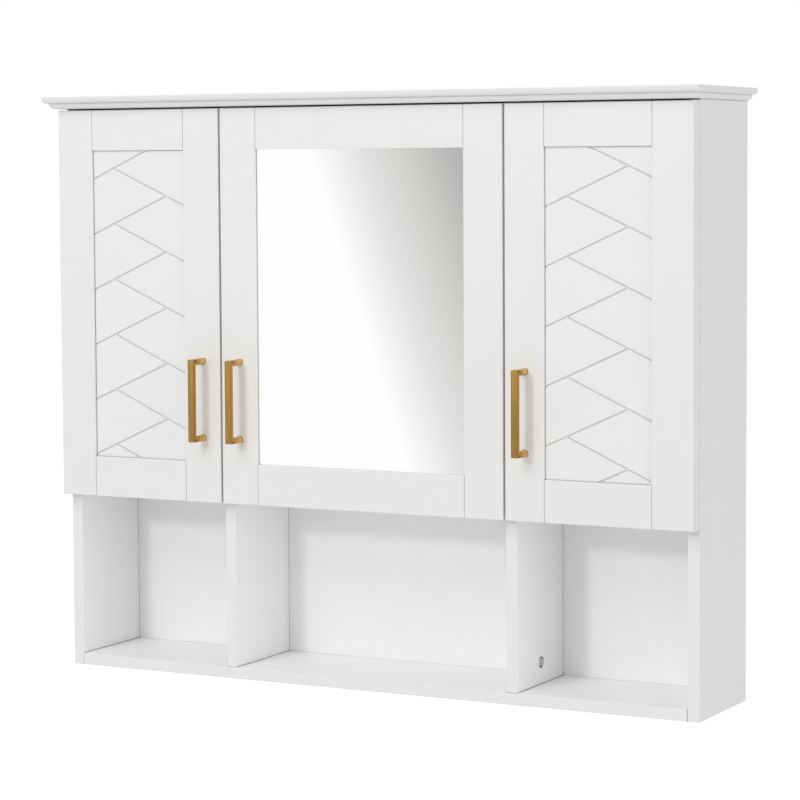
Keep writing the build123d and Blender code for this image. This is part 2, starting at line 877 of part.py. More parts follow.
def make_hinge_door_side(door):
    """Write the hinge pieces that turn with a door: cups, pins and cup screws."""
    slot_half = knuckle_height / 2 + knuckle_side_gap
    ear_thickness = hinge_pin_length / 2 - slot_half
    with BuildPart() as hinge_cups:
        for z in hinge_levels:
            mouth = Plane(
                origin=(door.x(cup_u), door_back, z),
                x_dir=(door.inward, 0, 0),
                z_dir=(0, 1, 0),
            )
            bars([mouth], cup_radius, -cup_depth, 0)
            flange_middle = (cup_flange_start_u + cup_flange_end_u) / 2 - cup_u
            with BuildSketch(mouth) as flange:
                with Locations((flange_middle, 0)):
                    RectangleRounded(
                        cup_flange_end_u - cup_flange_start_u,
                        cup_flange_height,
                        cup_flange_corner,
                    )
            extrude(flange.sketch, amount=cup_flange_thickness)
            with BuildSketch(mouth.offset(cup_flange_thickness)) as pocket:
                Circle(cup_radius - cup_wall)
                for sign in (-1, 1):
                    ear_reach = pivot_u + cup_ear_reach - cup_edge_u
                    with Locations(
                        (ear_reach / 2 - cup_radius, sign * (slot_half + ear_thickness / 2))
                    ):
                        Rectangle(ear_reach, ear_thickness, mode=Mode.SUBTRACT)
            pocket_depth = cup_depth - cup_wall + cup_flange_thickness
            extrude(pocket.sketch, amount=-pocket_depth, mode=Mode.SUBTRACT)
        bars(
            pin_axes(door),
            hinge_pin_radius + hinge_pin_clearance,
            -hinge_pin_length / 2,
            hinge_pin_length / 2,
            Mode.SUBTRACT,
        )
        bars(
            cup_screw_planes(door),
            hinge_screw_radius + bore_clearance,
            0,
            cup_flange_thickness,
            Mode.SUBTRACT,
        )
    save(hinge_cups, f"{door.name}_hinge_cups")

    with BuildPart() as hinge_pins:
        bars(pin_axes(door), hinge_pin_radius, -hinge_pin_length / 2, hinge_pin_length / 2)
    save(hinge_pins, f"{door.name}_hinge_pins")

    with BuildPart() as cup_screws:
        bars(
            cup_screw_planes(door),
            hinge_screw_radius,
            -hinge_screw_bite,
            cup_flange_thickness,
        )
        bars(
            cup_screw_planes(door),
            hinge_screw_head_radius,
            cup_flange_thickness,
            cup_flange_thickness + hinge_screw_head_height,
        )
    save(cup_screws, f"{door.name}_hinge_cup_screws")


def make_bumpers(door):
    """Write the two soft pads on the door's back, at the corners away from the hinges."""
    seats = [
        door.facing_back(door.width - bumper_side_inset, door_thickness, z)
        for z in (door_bottom + bumper_end_inset, door_top - bumper_end_inset)
    ]
    with BuildPart() as bumpers:
        bars(seats, bumper_radius, 0, door_setoff - bumper_gap)
    save(bumpers, f"{door.name}_door_bumpers")


# Doors
panel_channel_end = panel_recess + panel_thickness + 2 * panel_face_clearance
for door in (left_door, right_door):
    make_door_frame(door, panel_channel_end)
    make_grooved_panel(door)
make_door_frame(middle_door, door_thickness)
make_mirror(middle_door)
for door in doors:
    make_handle(door)
    make_hinge_door_side(door)
    make_bumpers(door)
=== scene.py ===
import json
import logging
from abc import ABC, abstractmethod
from collections.abc import Iterable
from dataclasses import dataclass, field
from enum import Enum
from math import cos, degrees, hypot, pi, radians, sin

import bmesh
import bpy
from mathutils import Matrix, Vector


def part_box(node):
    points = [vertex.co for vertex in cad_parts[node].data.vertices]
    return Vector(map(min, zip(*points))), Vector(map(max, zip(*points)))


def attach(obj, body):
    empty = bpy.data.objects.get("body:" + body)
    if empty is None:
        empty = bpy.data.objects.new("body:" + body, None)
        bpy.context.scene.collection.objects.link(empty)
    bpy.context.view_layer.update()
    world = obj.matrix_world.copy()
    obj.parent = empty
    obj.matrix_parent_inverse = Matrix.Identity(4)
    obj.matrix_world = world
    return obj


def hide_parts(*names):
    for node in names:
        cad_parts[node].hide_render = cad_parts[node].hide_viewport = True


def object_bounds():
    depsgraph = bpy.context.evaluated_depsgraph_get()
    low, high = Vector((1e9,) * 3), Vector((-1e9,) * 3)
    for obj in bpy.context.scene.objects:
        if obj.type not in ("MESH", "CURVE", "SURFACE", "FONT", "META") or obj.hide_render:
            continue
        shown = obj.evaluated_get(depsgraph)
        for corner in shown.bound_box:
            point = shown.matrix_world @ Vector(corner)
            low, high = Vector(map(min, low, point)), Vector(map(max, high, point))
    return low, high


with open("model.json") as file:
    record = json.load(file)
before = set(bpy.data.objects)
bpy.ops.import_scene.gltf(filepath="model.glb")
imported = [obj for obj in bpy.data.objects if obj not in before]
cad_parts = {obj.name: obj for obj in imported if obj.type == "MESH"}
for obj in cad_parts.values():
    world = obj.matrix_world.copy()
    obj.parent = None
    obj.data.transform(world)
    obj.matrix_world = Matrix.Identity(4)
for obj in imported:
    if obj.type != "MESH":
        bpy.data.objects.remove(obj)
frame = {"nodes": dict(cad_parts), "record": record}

# The looks of a wall-hung mirror cabinet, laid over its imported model. The wall is the
# plane Y = 0 and the cabinet faces -Y. Names that end in _mm are in millimetres, and all
# other lengths are in metres. A frame from frame_at or Seat.place turns millimetres
# along its own axes into metres in the cabinet.

CAD_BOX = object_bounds()
MM = 0.001
CARCASS = "cabinet"
log = logging.getLogger("cabinet")

Shape = bmesh.types.BMesh
Thing = bpy.types.Object
Tree = bpy.types.NodeTree
Socket = bpy.types.NodeSocket
Inputs = dict[str | int, object]
Pair = tuple[float, float]
Triple = tuple[float, float, float]
Constants = tuple[tuple[str, float], ...]
Outline = list[Pair]

METAL: Constants = (("Metallic", 1.0),)
WHITE = "#FFFFFF"
# Corners this near a plane lie on it, and edges that turn by more degrees are corners.
FLUSH = 0.05 * MM
CORNER_TURN = 30.0
FRONTAL = -0.99
BACK = Vector((0, 1, 0))


def linear(code: str) -> tuple[float, ...]:
    """Turn an sRGB colour into linear light.

    Args:
        code: The colour as hex digits, such as "#E8E8E7".

    Returns:
        Linear red, green and blue, and an alpha of 1.
    """
    shares = [int(code[start : start + 2], 16) / 255 for start in (1, 3, 5)]
    curve = [s / 12.92 if s <= 0.04045 else ((s + 0.055) / 1.055) ** 2.4 for s in shares]
    return (*curve, 1.0)


def feed(tree: Tree, node: bpy.types.Node, inputs: Inputs) -> None:
    """Set or link some of a node's inputs.

    Args:
        tree: The node's tree.
        node: The node.
        inputs: For each input, by name or number, a value, a colour as hex digits, or
            the output that feeds it. A node stands for its first output in use.
    """
    for key, value in inputs.items():
        if isinstance(value, str):
            value = linear(value)
        if isinstance(value, bpy.types.Node):
            value = next(output for output in value.outputs if output.enabled)
        if isinstance(value, Socket):
            tree.links.new(value, node.inputs[key])
        else:
            node.inputs[key].default_value = value


def add_node(
    tree: Tree, kind: str, inputs: Inputs | None = None, **settings: object
) -> bpy.types.Node:
    """Add one node with its settings, values and links.

    Args:
        tree: The node tree that gets the node.
        kind: Blender's name of the node's type.
        inputs: What its inputs get, as in feed.
        settings: Values of the node's own properties.

    Returns:
        The new node.
    """
    node = tree.nodes.new(kind)
    for name, value in settings.items():
        setattr(node, name, value)
    feed(tree, node, inputs or {})
    return node


def grain(tree: Tree, cell_mm: float | Triple, detail: float = 2.0) -> Socket:
    """Lay an uneven pattern over the object, with cells of a real size.

    Args:
        tree: The material's node tree.
        cell_mm: The cells' size, or their sizes along X, Y and Z.
        detail: How many finer octaves the pattern has.

    Returns:
        The pattern's output, from 0 to 1.
    """
    sizes_mm = cell_mm if isinstance(cell_mm, tuple) else (cell_mm,) * 3
    per_metre = Vector([1 / (size * MM) for size in sizes_mm])
    place = add_node(tree, "ShaderNodeTexCoord").outputs["Object"]
    cells = add_node(tree, "ShaderNodeMapping", {"Vector": place, "Scale": per_metre})
    pattern = {"Vector": cells, "Scale": 1.0, "Detail": detail}
    return add_node(tree, "ShaderNodeTexNoise", pattern).outputs["Fac"]


@dataclass(frozen=True)
class Finish(ABC):
    """A surface finish that makes its material the first time it is asked for."""

    name: str

    def material(self) -> bpy.types.Material:
        """Look up this finish's material, or make it.

        Returns:
            The material.
        """
        made = bpy.data.materials.get(self.name)
        if made is None:
            made = bpy.data.materials.new(self.name)
            made.use_nodes = True
            tree = made.node_tree
            feed(tree, tree.nodes["Principled BSDF"], self.paint(tree))
        return made

    @abstractmethod
    def paint(self, tree: Tree) -> Inputs:
        """Lay the finish's patterns.

        Args:
            tree: The material's node tree.

        Returns:
            What the shader's inputs get.
        """


@dataclass(frozen=True)
class Patterned(Finish):
    """A finish with one uneven pattern, which can tint, dull and dent the surface.

    Its roughness goes from the first value to the second with the pattern, and its
    relief is a strength and a depth in millimetres. A value that the pattern doesn't
    change is set on the shader itself.
    """

    tint: str
    cell_mm: float | Triple
    mottle: str = ""
    detail: float = 2.0
    roughness: Pair = (0.5, 0.5)
    relief: tuple[float, ...] = ()
    constants: Constants = ()

    def paint(self, tree: Tree) -> Inputs:
        """Lay the pattern.

        Args:
            tree: The material's node tree.

        Returns:
            What the shader's inputs get.
        """
        pattern = grain(tree, self.cell_mm, self.detail)
        smooth, dull = self.roughness
        inputs = {"Base Color": self.tint, "Roughness": smooth, **dict(self.constants)}
        if self.mottle:
            tones = {"Factor": pattern, "A": self.tint, "B": self.mottle}
            inputs["Base Color"] = add_node(tree, "ShaderNodeMix", tones, data_type="RGBA")
        if smooth != dull:
            polish = {"Value": pattern, "To Min": smooth, "To Max": dull}
            inputs["Roughness"] = add_node(tree, "ShaderNodeMapRange", polish)
        if self.relief:
            strength, depth_mm = self.relief
            dents = {"Height": pattern, "Strength": strength, "Distance": depth_mm * MM}
            inputs["Normal"] = add_node(tree, "ShaderNodeBump", dents)
        return inputs


@dataclass(frozen=True)
class SprayedLacquer(Finish):
    """White polyurethane lacquer, sprayed on fibreboard and left satin.

    The eye gets a cool white that is nearly even, a soft sheen with no sharp reflection,
    painted shade that greys the crevices, corners and joints between boards, where little
    light reaches, and close up the shallow orange peel that spraying leaves.
    """

    name: str = "sprayed_lacquer"
    tint: str = "#E7E7E6"
    thin_tint: str = "#E4E4E3"
    # The painted shade in crevices: its colour, the reach it looks over, and the openness over
    # which it fades.
    crevice_shade_tint: str = "#3C3C3B"
    shade_reach_mm: float = 1.2
    shade_openness: Pair = (0.52, 0.99)
    roughness: Pair = (0.39, 0.45)
    drift_mm: float = 120.0
    peel_mm: float = 1.6
    peel_strength: float = 0.35
    peel_depth_mm: float = 0.02

    def paint(self, tree: Tree) -> Inputs:
        """Mix near whites, paint shade into the crevices and put the orange peel in the bump.

        Args:
            tree: The material's node tree.

        Returns:
            What the shader's inputs get.
        """
        drift = grain(tree, self.drift_mm)
        # Painted shade: where ambient occlusion finds geometry within this reach, the white
        # darkens towards the crevice tint.
        reach = {"Distance": self.shade_reach_mm * MM}
        air = add_node(tree, "ShaderNodeAmbientOcclusion", reach, samples=8).outputs["AO"]
        shut, clear = self.shade_openness
        openness = {"Value": air, "From Min": shut, "From Max": clear}
        tones = {
            "Factor": add_node(tree, "ShaderNodeMapRange", openness),
            "A": self.crevice_shade_tint,
            "B": self.white(tree, drift),
        }
        satin, dull = self.roughness
        sheen = {"Value": drift, "To Min": satin, "To Max": dull}
        peel = {
            "Height": grain(tree, self.peel_mm),
            "Strength": self.peel_strength,
            "Distance": self.peel_depth_mm * MM,
        }
        return {
            "Base Color": add_node(tree, "ShaderNodeMix", tones, data_type="RGBA"),
            "Roughness": add_node(tree, "ShaderNodeMapRange", sheen),
            "Normal": add_node(tree, "ShaderNodeBump", peel),
            "IOR": 1.5,
        }

    def white(self, tree: Tree, drift: Socket) -> bpy.types.Node:
        """Mix the two near whites.

        Args:
            tree: The material's node tree.
            drift: How thin the lacquer is, from 0 to 1.

        Returns:
            The node that mixes them.
        """
        tones = {"Factor": drift, "A": self.tint, "B": self.thin_tint}
        return add_node(tree, "ShaderNodeMix", tones, data_type="RGBA")


@dataclass(frozen=True)
class FacedBoard(SprayedLacquer):
    """Particle board, faced with white melamine paper and sprayed where it shows.

    The eye gets a brighter white on the boards' inner faces, where the paper is bare and
    where the white is also painted lighter to lift the shade inside the bays, and the
    lacquer's white on their front edges and on the cabinet's two outer sides.
    """

    name: str = "faced_board"
    paper_and_painted_light_tint: str = "#F9F9F8"
    outer_x_mm: Pair = (436.0, 436.5)
    edge_facing: Pair = (-0.35, -0.75)

    def white(self, tree: Tree, drift: Socket) -> bpy.types.Node:
        """Leave the paper bare and lighter as painted light, but not on a front edge or an
        outer side.

        Args:
            tree: The material's node tree.
            drift: How thin the lacquer is, from 0 to 1.

        Returns:
            The node that mixes the two whites.
        """
        place = add_node(tree, "ShaderNodeTexCoord")
        spot = add_node(tree, "ShaderNodeSeparateXYZ", {0: place.outputs["Object"]})
        facing = add_node(tree, "ShaderNodeSeparateXYZ", {0: place.outputs["Normal"]})
        aside = add_node(
            tree, "ShaderNodeMath", {0: spot.outputs["X"]}, operation="ABSOLUTE"
        )
        near, far = self.outer_x_mm
        outer = {"Value": aside, "From Min": near * MM, "From Max": far * MM}
        slack, square = self.edge_facing
        edge = {"Value": facing.outputs["Y"], "From Min": slack, "From Max": square}
        either = {
            0: add_node(tree, "ShaderNodeMapRange", outer),
            1: add_node(tree, "ShaderNodeMapRange", edge),
        }
        # Painted light: the inner faces take the brighter paper white, which lifts the shade
        # inside the bays.
        tones = {
            "Factor": add_node(tree, "ShaderNodeMath", either, operation="MAXIMUM"),
            "A": self.paper_and_painted_light_tint,
            "B": super().white(tree, drift),
        }
        return add_node(tree, "ShaderNodeMix", tones, data_type="RGBA")


@dataclass(frozen=True)
class PaintedHardboard(Finish):
    """Hardboard, roller-coated white on its front and left bare behind.

    The eye gets a flatter white than the lacquer, with a faint pebbled roller texture,
    and from behind a brown felt of fibres, drawn about three times as coarse as real.
    """

    name: str = "painted_hardboard"
    tint: str = "#F9F9F8"
    hollow_tint: str = "#F4F4F3"
    bare_tint: str = "#C4A47C"
    bare_fibre: str = "#9C7B54"
    behind_facing: Pair = (0.4, 0.6)
    fibre_mm: Triple = (9.0, 9.0, 3.0)
    roughness: float = 0.55
    pebble_mm: float = 2.4
    pebble_strength: float = 0.4
    pebble_depth_mm: float = 0.03

    def paint(self, tree: Tree) -> Inputs:
        """Give the pebbles their tone and their height, and show fibres behind.

        Args:
            tree: The material's node tree.

        Returns:
            What the shader's inputs get.
        """
        pebbles = grain(tree, self.pebble_mm, detail=3.0)
        fibres = grain(tree, self.fibre_mm, detail=6.0)
        front = {"Factor": pebbles, "A": self.tint, "B": self.hollow_tint}
        back = {"Factor": fibres, "A": self.bare_tint, "B": self.bare_fibre}
        normal = add_node(tree, "ShaderNodeTexCoord").outputs["Normal"]
        facing = add_node(tree, "ShaderNodeSeparateXYZ", {0: normal}).outputs["Y"]
        slack, square = self.behind_facing
        behind = {"Value": facing, "From Min": slack, "From Max": square}
        tones = {
            "Factor": add_node(tree, "ShaderNodeMapRange", behind),
            "A": add_node(tree, "ShaderNodeMix", front, data_type="RGBA"),
            "B": add_node(tree, "ShaderNodeMix", back, data_type="RGBA"),
        }
        relief = {
            "Height": pebbles,
            "Strength": self.pebble_strength,
            "Distance": self.pebble_depth_mm * MM,
        }
        return {
            "Base Color": add_node(tree, "ShaderNodeMix", tones, data_type="RGBA"),
            "Normal": add_node(tree, "ShaderNodeBump", relief),
            "Roughness": self.roughness,
        }


@dataclass(frozen=True)
class AgedBrass(Finish):
    """Brass, cast, brushed along its length and aged under clear lacquer.

    The eye gets a brown-gold face with darker drifts along the bar, a redder brown
    painted down its two edges as shade where the bar rounds away, and a brighter
    gold painted on the legs as a highlight. The brush lines are drawn a little
    coarser than real.
    """

    name: str = "aged_brass"
    # The bright tint is a painted highlight for the legs, and the edge tint is painted shade
    # down the bar's two sides.
    bright: str = "#FCCF80"
    aged: str = "#B19153"
    shaded: str = "#8D7140"
    edge: str = "#96682F"
    drift_mm: Triple = (1.6, 1.6, 26.0)
    drift_ends: Pair = (0.3, 0.7)
    brush_mm: Triple = (0.35, 0.35, 12.0)
    brush_strength: float = 0.4
    brush_depth_mm: float = 0.03
    roughness: Pair = (0.28, 0.46)

    def paint(self, tree: Tree) -> Inputs:
        """Blend the bright brass of the painted leg highlight with the aged brass by the
        piece's own marks, broken up by drifts, and paint shade down the bar's edges.

        Args:
            tree: The material's node tree.

        Returns:
            What the shader's inputs get.
        """
        bar_age_and_leg_highlight = add_node(tree, "ShaderNodeAttribute", attribute_name="bar_age_and_leg_highlight")
        edge_shade = add_node(tree, "ShaderNodeAttribute", attribute_name="edge")
        drift = grain(tree, self.drift_mm, detail=3.0)
        low, high = self.drift_ends
        uneven = {"Value": drift, "From Min": low, "From Max": high}
        face = {
            "Factor": add_node(tree, "ShaderNodeMapRange", uneven),
            "A": self.aged,
            "B": self.shaded,
        }
        bar = {
            "Factor": edge_shade.outputs["Fac"],
            "A": add_node(tree, "ShaderNodeMix", face, data_type="RGBA"),
            "B": self.edge,
        }
        whole = {
            "Factor": bar_age_and_leg_highlight.outputs["Fac"],
            "A": self.bright,
            "B": add_node(tree, "ShaderNodeMix", bar, data_type="RGBA"),
        }
        brushed = {
            "Height": grain(tree, self.brush_mm),
            "Strength": self.brush_strength,
            "Distance": self.brush_depth_mm * MM,
        }
        bright, dull = self.roughness
        polish = {"Value": drift, "To Min": bright, "To Max": dull}
        return {
            "Base Color": add_node(tree, "ShaderNodeMix", whole, data_type="RGBA"),
            "Roughness": add_node(tree, "ShaderNodeMapRange", polish),
            "Normal": add_node(tree, "ShaderNodeBump", brushed),
            **dict(METAL),
        }


@dataclass(frozen=True)
class PlatedSteel(Patterned):
    """Pressed steel, barrel-plated with nickel.

    The eye gets a warm grey metal, bright but clouded by the tumbling in the barrel.
    """

    name: str = "nickel_plate"
    tint: str = "#C9C6C0"
    mottle: str = "#B4B1AB"
    cell_mm: float | Triple = 4.0
    detail: float = 4.0
    roughness: Pair = (0.18, 0.36)
    constants: Constants = METAL


@dataclass(frozen=True)
class CastZinc(Patterned):
    """Zinc, die-cast and left raw.

    The eye gets a dull mid grey with the fine pitting of a casting.
    """

    name: str = "cast_zinc"
    tint: str = "#DCDCDB"
    mottle: str = "#BFC0C1"
    cell_mm: float | Triple = 0.5
    detail: float = 3.0
    roughness: Pair = (0.45, 0.45)
    relief: tuple[float, ...] = (0.5, 0.05)
    constants: Constants = METAL


@dataclass(frozen=True)
class TurnedBeech(Patterned):
    """Beech, turned into dowels and left raw.

    The eye gets a pale pinkish brown with short darker flecks along the grain.
    """

    name: str = "turned_beech"
    tint: str = "#D9B98C"
    mottle: str = "#B98F5E"
    cell_mm: float | Triple = (0.6, 0.6, 5.0)
    detail: float = 4.0
    roughness: Pair = (0.7, 0.7)


@dataclass(frozen=True)
class RawHardboard(Patterned):
    """Hardboard, wet-pressed and left raw.

    The eye gets a mid brown with a felt of paler and darker fibres.
    """

    name: str = "raw_hardboard"
    tint: str = "#9A7750"
    mottle: str = "#6E5234"
    cell_mm: float | Triple = (1.8, 1.8, 0.7)
    detail: float = 6.0
    roughness: Pair = (0.65, 0.65)


@dataclass(frozen=True)
class SilveredGlass(Patterned):
    """Float glass, silvered on its back.

    The eye gets a clean reflection with the least green in it, and the slow waviness
    that float glass has when a reflection is looked at along it.
    """

    name: str = "silvered_glass"
    tint: str = "#FDFEFD"
    cell_mm: float | Triple = 180.0
    detail: float = 0.0
    roughness: Pair = (0.015, 0.015)
    relief: tuple[float, ...] = (0.5, 0.02)
    constants: Constants = METAL


@dataclass(frozen=True)
class GroundGlassEdge(Patterned):
    """The edge of a glass plate, ground with a wet belt.

    The eye gets a grey-green frosted line.
    """

    name: str = "ground_glass_edge"
    tint: str = "#A9BDB4"
    cell_mm: float | Triple = 0.3
    roughness: Pair = (0.4, 0.4)
    relief: tuple[float, ...] = (0.6, 0.02)
    constants: Constants = (("IOR", 1.52),)


@dataclass(frozen=True)
class SoftVinyl(Patterned):
    """Clear soft vinyl, cast in domes and clouded with small bubbles.

    The eye gets a milky drop with a bright spot on it.
    """

    name: str = "soft_vinyl"
    tint: str = "#E6E7E4"
    cell_mm: float | Triple = 0.8
    roughness: Pair = (0.15, 0.35)
    constants: Constants = (("Transmission Weight", 0.4), ("IOR", 1.53))


LACQUER = SprayedLacquer()
# Painted light: the door panels get a slightly lighter copy of the lacquer, with a paler
# crevice shade, which brightens them.
LIGHTER_PANEL_LACQUER = SprayedLacquer("sprayed_panel_lacquer_painted_light", "#E9E9E8", "#E6E6E5", "#9C9C9A")
# Painted shade: the top panel gets a greyer copy of the lacquer, which darkens it, with a paler
# crevice shade.
SHADED_TOP_LACQUER = SprayedLacquer("sprayed_top_lacquer_painted_shade", "#E4E4E3", "#E1E1E0", "#B4B4B2")
FACED_BOARD = FacedBoard()
MIRROR = SilveredGlass()
GLASS_EDGE = GroundGlassEdge()


class Slot(Enum):
    """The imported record's material slots, each with the finish that shows it."""

    BOARD = "lacquered_board"
    BACK = "lacquered_back"
    RAW = "raw_board"
    BEECH = "beech"
    MIRROR = "mirror"
    BRASS = "brass"
    STEEL = "plated_steel"
    ZINC = "zinc"
    PAD = "pad"


SLOT_FINISH = {
    Slot.BOARD: FACED_BOARD,
    Slot.BACK: PaintedHardboard(),
    Slot.RAW: RawHardboard(),
    Slot.BEECH: TurnedBeech(),
    Slot.MIRROR: MIRROR,
    Slot.BRASS: AgedBrass(),
    Slot.STEEL: PlatedSteel(),
    Slot.ZINC: CastZinc(),
    Slot.PAD: SoftVinyl(),
}


class Side(Enum):
    """The three doors, by where they hang."""

    LEFT = "left"
    MIDDLE = "middle"
    RIGHT = "right"

    @property
    def body(self) -> str:
        """The name of the door's moving body."""
        return f"{self.value}_door"


def dress_nodes() -> int:
    """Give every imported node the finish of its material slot.

    Returns:
        The number of nodes dressed.
    """
    slots = {row["node"]: Slot(row["material_slot"]) for row in frame["record"]["subparts"]}
    bodies = frame["record"]["behaviour"]["bodies"]
    on_doors = {name for side in Side for name in bodies[side.body]}
    for name, node in frame["nodes"].items():
        finish = SLOT_FINISH[slots[name]]
        if finish is FACED_BOARD and name in on_doors:
            finish = LIGHTER_PANEL_LACQUER if name.endswith("_panel") else LACQUER
        node.data.materials.clear()
        node.data.materials.append(finish.material())
    return len(slots)


def add_object(name: str, data: bpy.types.ID) -> Thing:
    """Stand a mesh, lamp or camera in the scene.

    Args:
        name: The object's name.
        data: What it shows.

    Returns:
        The new object.
    """
    made = bpy.data.objects.new(name, data)
    bpy.context.scene.collection.objects.link(made)
    return made


def settle(shape: Shape, name: str) -> bpy.types.Mesh:
    """Turn a shape, which is used up, into a mesh.

    Args:
        shape: The shape.
        name: The mesh's name.

    Returns:
        The new mesh.
    """
    mesh = bpy.data.meshes.new(name)
    shape.to_mesh(mesh)
    shape.free()
    return mesh


def make_piece(
    shape: Shape,
    name: str,
    body: str,
    slot: Slot,
    node: str,
    finishes: tuple[Finish, ...] = (),
    sharp_above: float = 35.0,
) -> Thing:
    """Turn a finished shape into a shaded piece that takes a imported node's place.

    Args:
        shape: The shape in the cabinet's frame, which is used up.
        name: The piece's name.
        body: The body that carries it.
        slot: The record's material slot that it takes its finish from.
        node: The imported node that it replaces.
        finishes: Its finishes by material number, where they aren't the slot's own.
        sharp_above: Edges that turn by more than this many degrees stay sharp.

    Returns:
        The new object.
    """
    bmesh.ops.recalc_face_normals(shape, faces=shape.faces)
    for face in shape.faces:
        face.smooth = True
    for edge in shape.edges:
        edge.smooth = degrees(edge.calc_face_angle(0.0)) <= sharp_above
    piece = add_object(name, settle(shape, name))
    for finish in finishes or (SLOT_FINISH[slot],):
        piece.data.materials.append(finish.material())
    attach(piece, body)
    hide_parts(node)
    return piece


def frame_at(spot: Vector, across: Vector, up: Vector) -> Matrix:
    """Return a frame that turns its own millimetres into metres in the cabinet.

    Args:
        spot: The frame's origin.
        across: The direction of its X.
        up: The direction of its Y.

    Returns:
        The frame.
    """
    turn = Matrix((across, up, across.cross(up))).transposed().to_4x4()
    return Matrix.Translation(spot) @ turn @ Matrix.Scale(MM, 4)


def span(solid: list[Vector]) -> tuple[Vector, Vector]:
    """Return the lowest and highest corner of a solid's box.

    Args:
        solid: The solid's corners.

    Returns:
        The two corners.
    """
    sides = list(zip(*solid))
    return Vector([min(side) for side in sides]), Vector([max(side) for side in sides])


def separate_solids(node: str) -> list[list[Vector]]:
    """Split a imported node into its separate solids.

    Args:
        node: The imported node's name.

    Returns:
        The corners of each solid.
    """
    copy = bmesh.new()
    copy.from_mesh(frame["nodes"][node].data)
    bmesh.ops.remove_doubles(copy, verts=copy.verts, dist=0.002 * MM)
    copy.verts.index_update()
    seen: set[int] = set()
    solids = []
    for start in copy.verts:
        if start.index in seen:
            continue
        seen.add(start.index)
        reached, solid = [start], []
        while reached:
            corner = reached.pop()
            solid.append(corner.co.copy())
            for edge in corner.link_edges:
                other = edge.other_vert(corner)
                if other.index not in seen:
                    seen.add(other.index)
                    reached.append(other)
        solids.append(solid)
    copy.free()
    return solids


class OuterEnd(Enum):
    """How a fastener's outer end is told from its inner one."""

    WIDER = "wider"
    BUSIER = "busier"
    REAR = "rear"


@dataclass(frozen=True)
class Seat:
    """The outer end of one round fastener: its middle, the way it looks, its length."""

    middle: Vector
    out: Vector
    length_mm: float = 0.0

    def place(self) -> Matrix:
        """Return the frame in millimetres with its origin there and Z looking out."""
        turn = self.out.to_track_quat("Z", "Y").to_matrix().to_4x4()
        return Matrix.Translation(self.middle) @ turn @ Matrix.Scale(MM, 4)


def find_seats(node: str, told_by: OuterEnd) -> list[Seat]:
    """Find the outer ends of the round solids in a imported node.

    Args:
        node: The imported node's name.
        told_by: How the outer end is told from the inner one.

    Returns:
        One seat for each solid.
    """
    seats = []
    for solid in separate_solids(node):
        low, high = span(solid)
        size, middle = high - low, (low + high) / 2
        along = min(range(3), key=lambda axis: abs(size[axis - 1] - size[axis - 2]))
        scores = []
        for end in (low[along], high[along]):
            ring = [corner - middle for corner in solid if abs(corner[along] - end) < FLUSH]
            reach = max(hypot(corner[along - 1], corner[along - 2]) for corner in ring)
            scores.append(reach if told_by is OuterEnd.WIDER else len(ring))
        ahead = told_by is OuterEnd.REAR or scores[1] > scores[0]
        out = Vector((0, 0, 0))
        out[along] = 1 if ahead else -1
        middle[along] = high[along] if ahead else low[along]
        seats.append(Seat(middle, out, size[along] / MM))
    return seats


def skin(shape: Shape, place: Matrix, rings: list[list[Triple]]) -> list[bmesh.types.BMFace]:
    """Join closed rings of corners into a solid.

    Args:
        shape: The shape that gets the solid.
        place: The frame that the corners are given in.
        rings: The rings in order, each of the same count or of one corner, a point.

    Returns:
        The flat faces on the first and last ring, where they aren't points.
    """
    loops = [[shape.verts.new(place @ Vector(spot)) for spot in ring] for ring in rings]
    caps = [shape.faces.new(loop) for loop in (loops[0], loops[-1]) if len(loop) > 1]
    for near, far in zip(loops, loops[1:]):
        for here in range(max(len(near), len(far))):
            after = here + 1
            corners = [
                near[here % len(near)],
                near[after % len(near)],
                far[after % len(far)],
                far[here % len(far)],
            ]
            shape.faces.new(list(dict.fromkeys(corners)))
    return caps


def add_turned(shape: Shape, place: Matrix, outline_mm: Outline, flats: int = 28) -> None:
    """Turn an outline round a frame's Z.

    Args:
        shape: The shape that gets the turned solid.
        place: The frame.
        outline_mm: Pairs of radius and height, whose first and last radius is 0.
        flats: The number of flats round the solid.
    """
    rings = []
    for radius, height in outline_mm:
        turns = [2 * pi * flat / flats for flat in range(flats if radius else 1)]
        rings.append([(radius * cos(t), radius * sin(t), height) for t in turns])
    skin(shape, place, rings)


def add_wedge(shape: Shape, place: Matrix, head_mm: Triple, foot_mm: Triple) -> None:
    """Add a bar that narrows from its head to its foot.

    Args:
        shape: The shape that gets the bar.
        place: The frame whose Z runs from the foot to the head.
        head_mm: The head's length, width and height.
        foot_mm: The foot's length, width and height.
    """
    signs = ((-1, -1), (1, -1), (1, 1), (-1, 1))
    rings = [
        [(i * length / 2, j * width / 2, height) for i, j in signs]
        for length, width, height in (head_mm, foot_mm)
    ]
    skin(shape, place, rings)


def add_box(shape: Shape, low: Vector, high: Vector) -> None:
    """Add a plain box.

    Args:
        shape: The shape that gets the box.
        low: The box's lowest corner.
        high: Its highest corner.
    """
    size = Matrix.Diagonal((*(high - low), 1.0))
    place = Matrix.Translation((low + high) / 2) @ size
    bmesh.ops.create_cube(shape, size=1.0, matrix=place)


def ease(
    shape: Shape, edges: Iterable[bmesh.types.BMEdge], ease_mm: float, steps: int = 3
) -> None:
    """Round some edges of a shape.

    Args:
        shape: The shape.
        edges: The edges.
        ease_mm: How far from the edge its rounding starts.
        steps: The number of flats in the rounding.
    """
    bmesh.ops.bevel(
        shape,
        geom=list(edges),
        offset=ease_mm * MM,
        segments=steps,
        profile=0.5,
        affect="EDGES",
        clamp_overlap=True,
    )


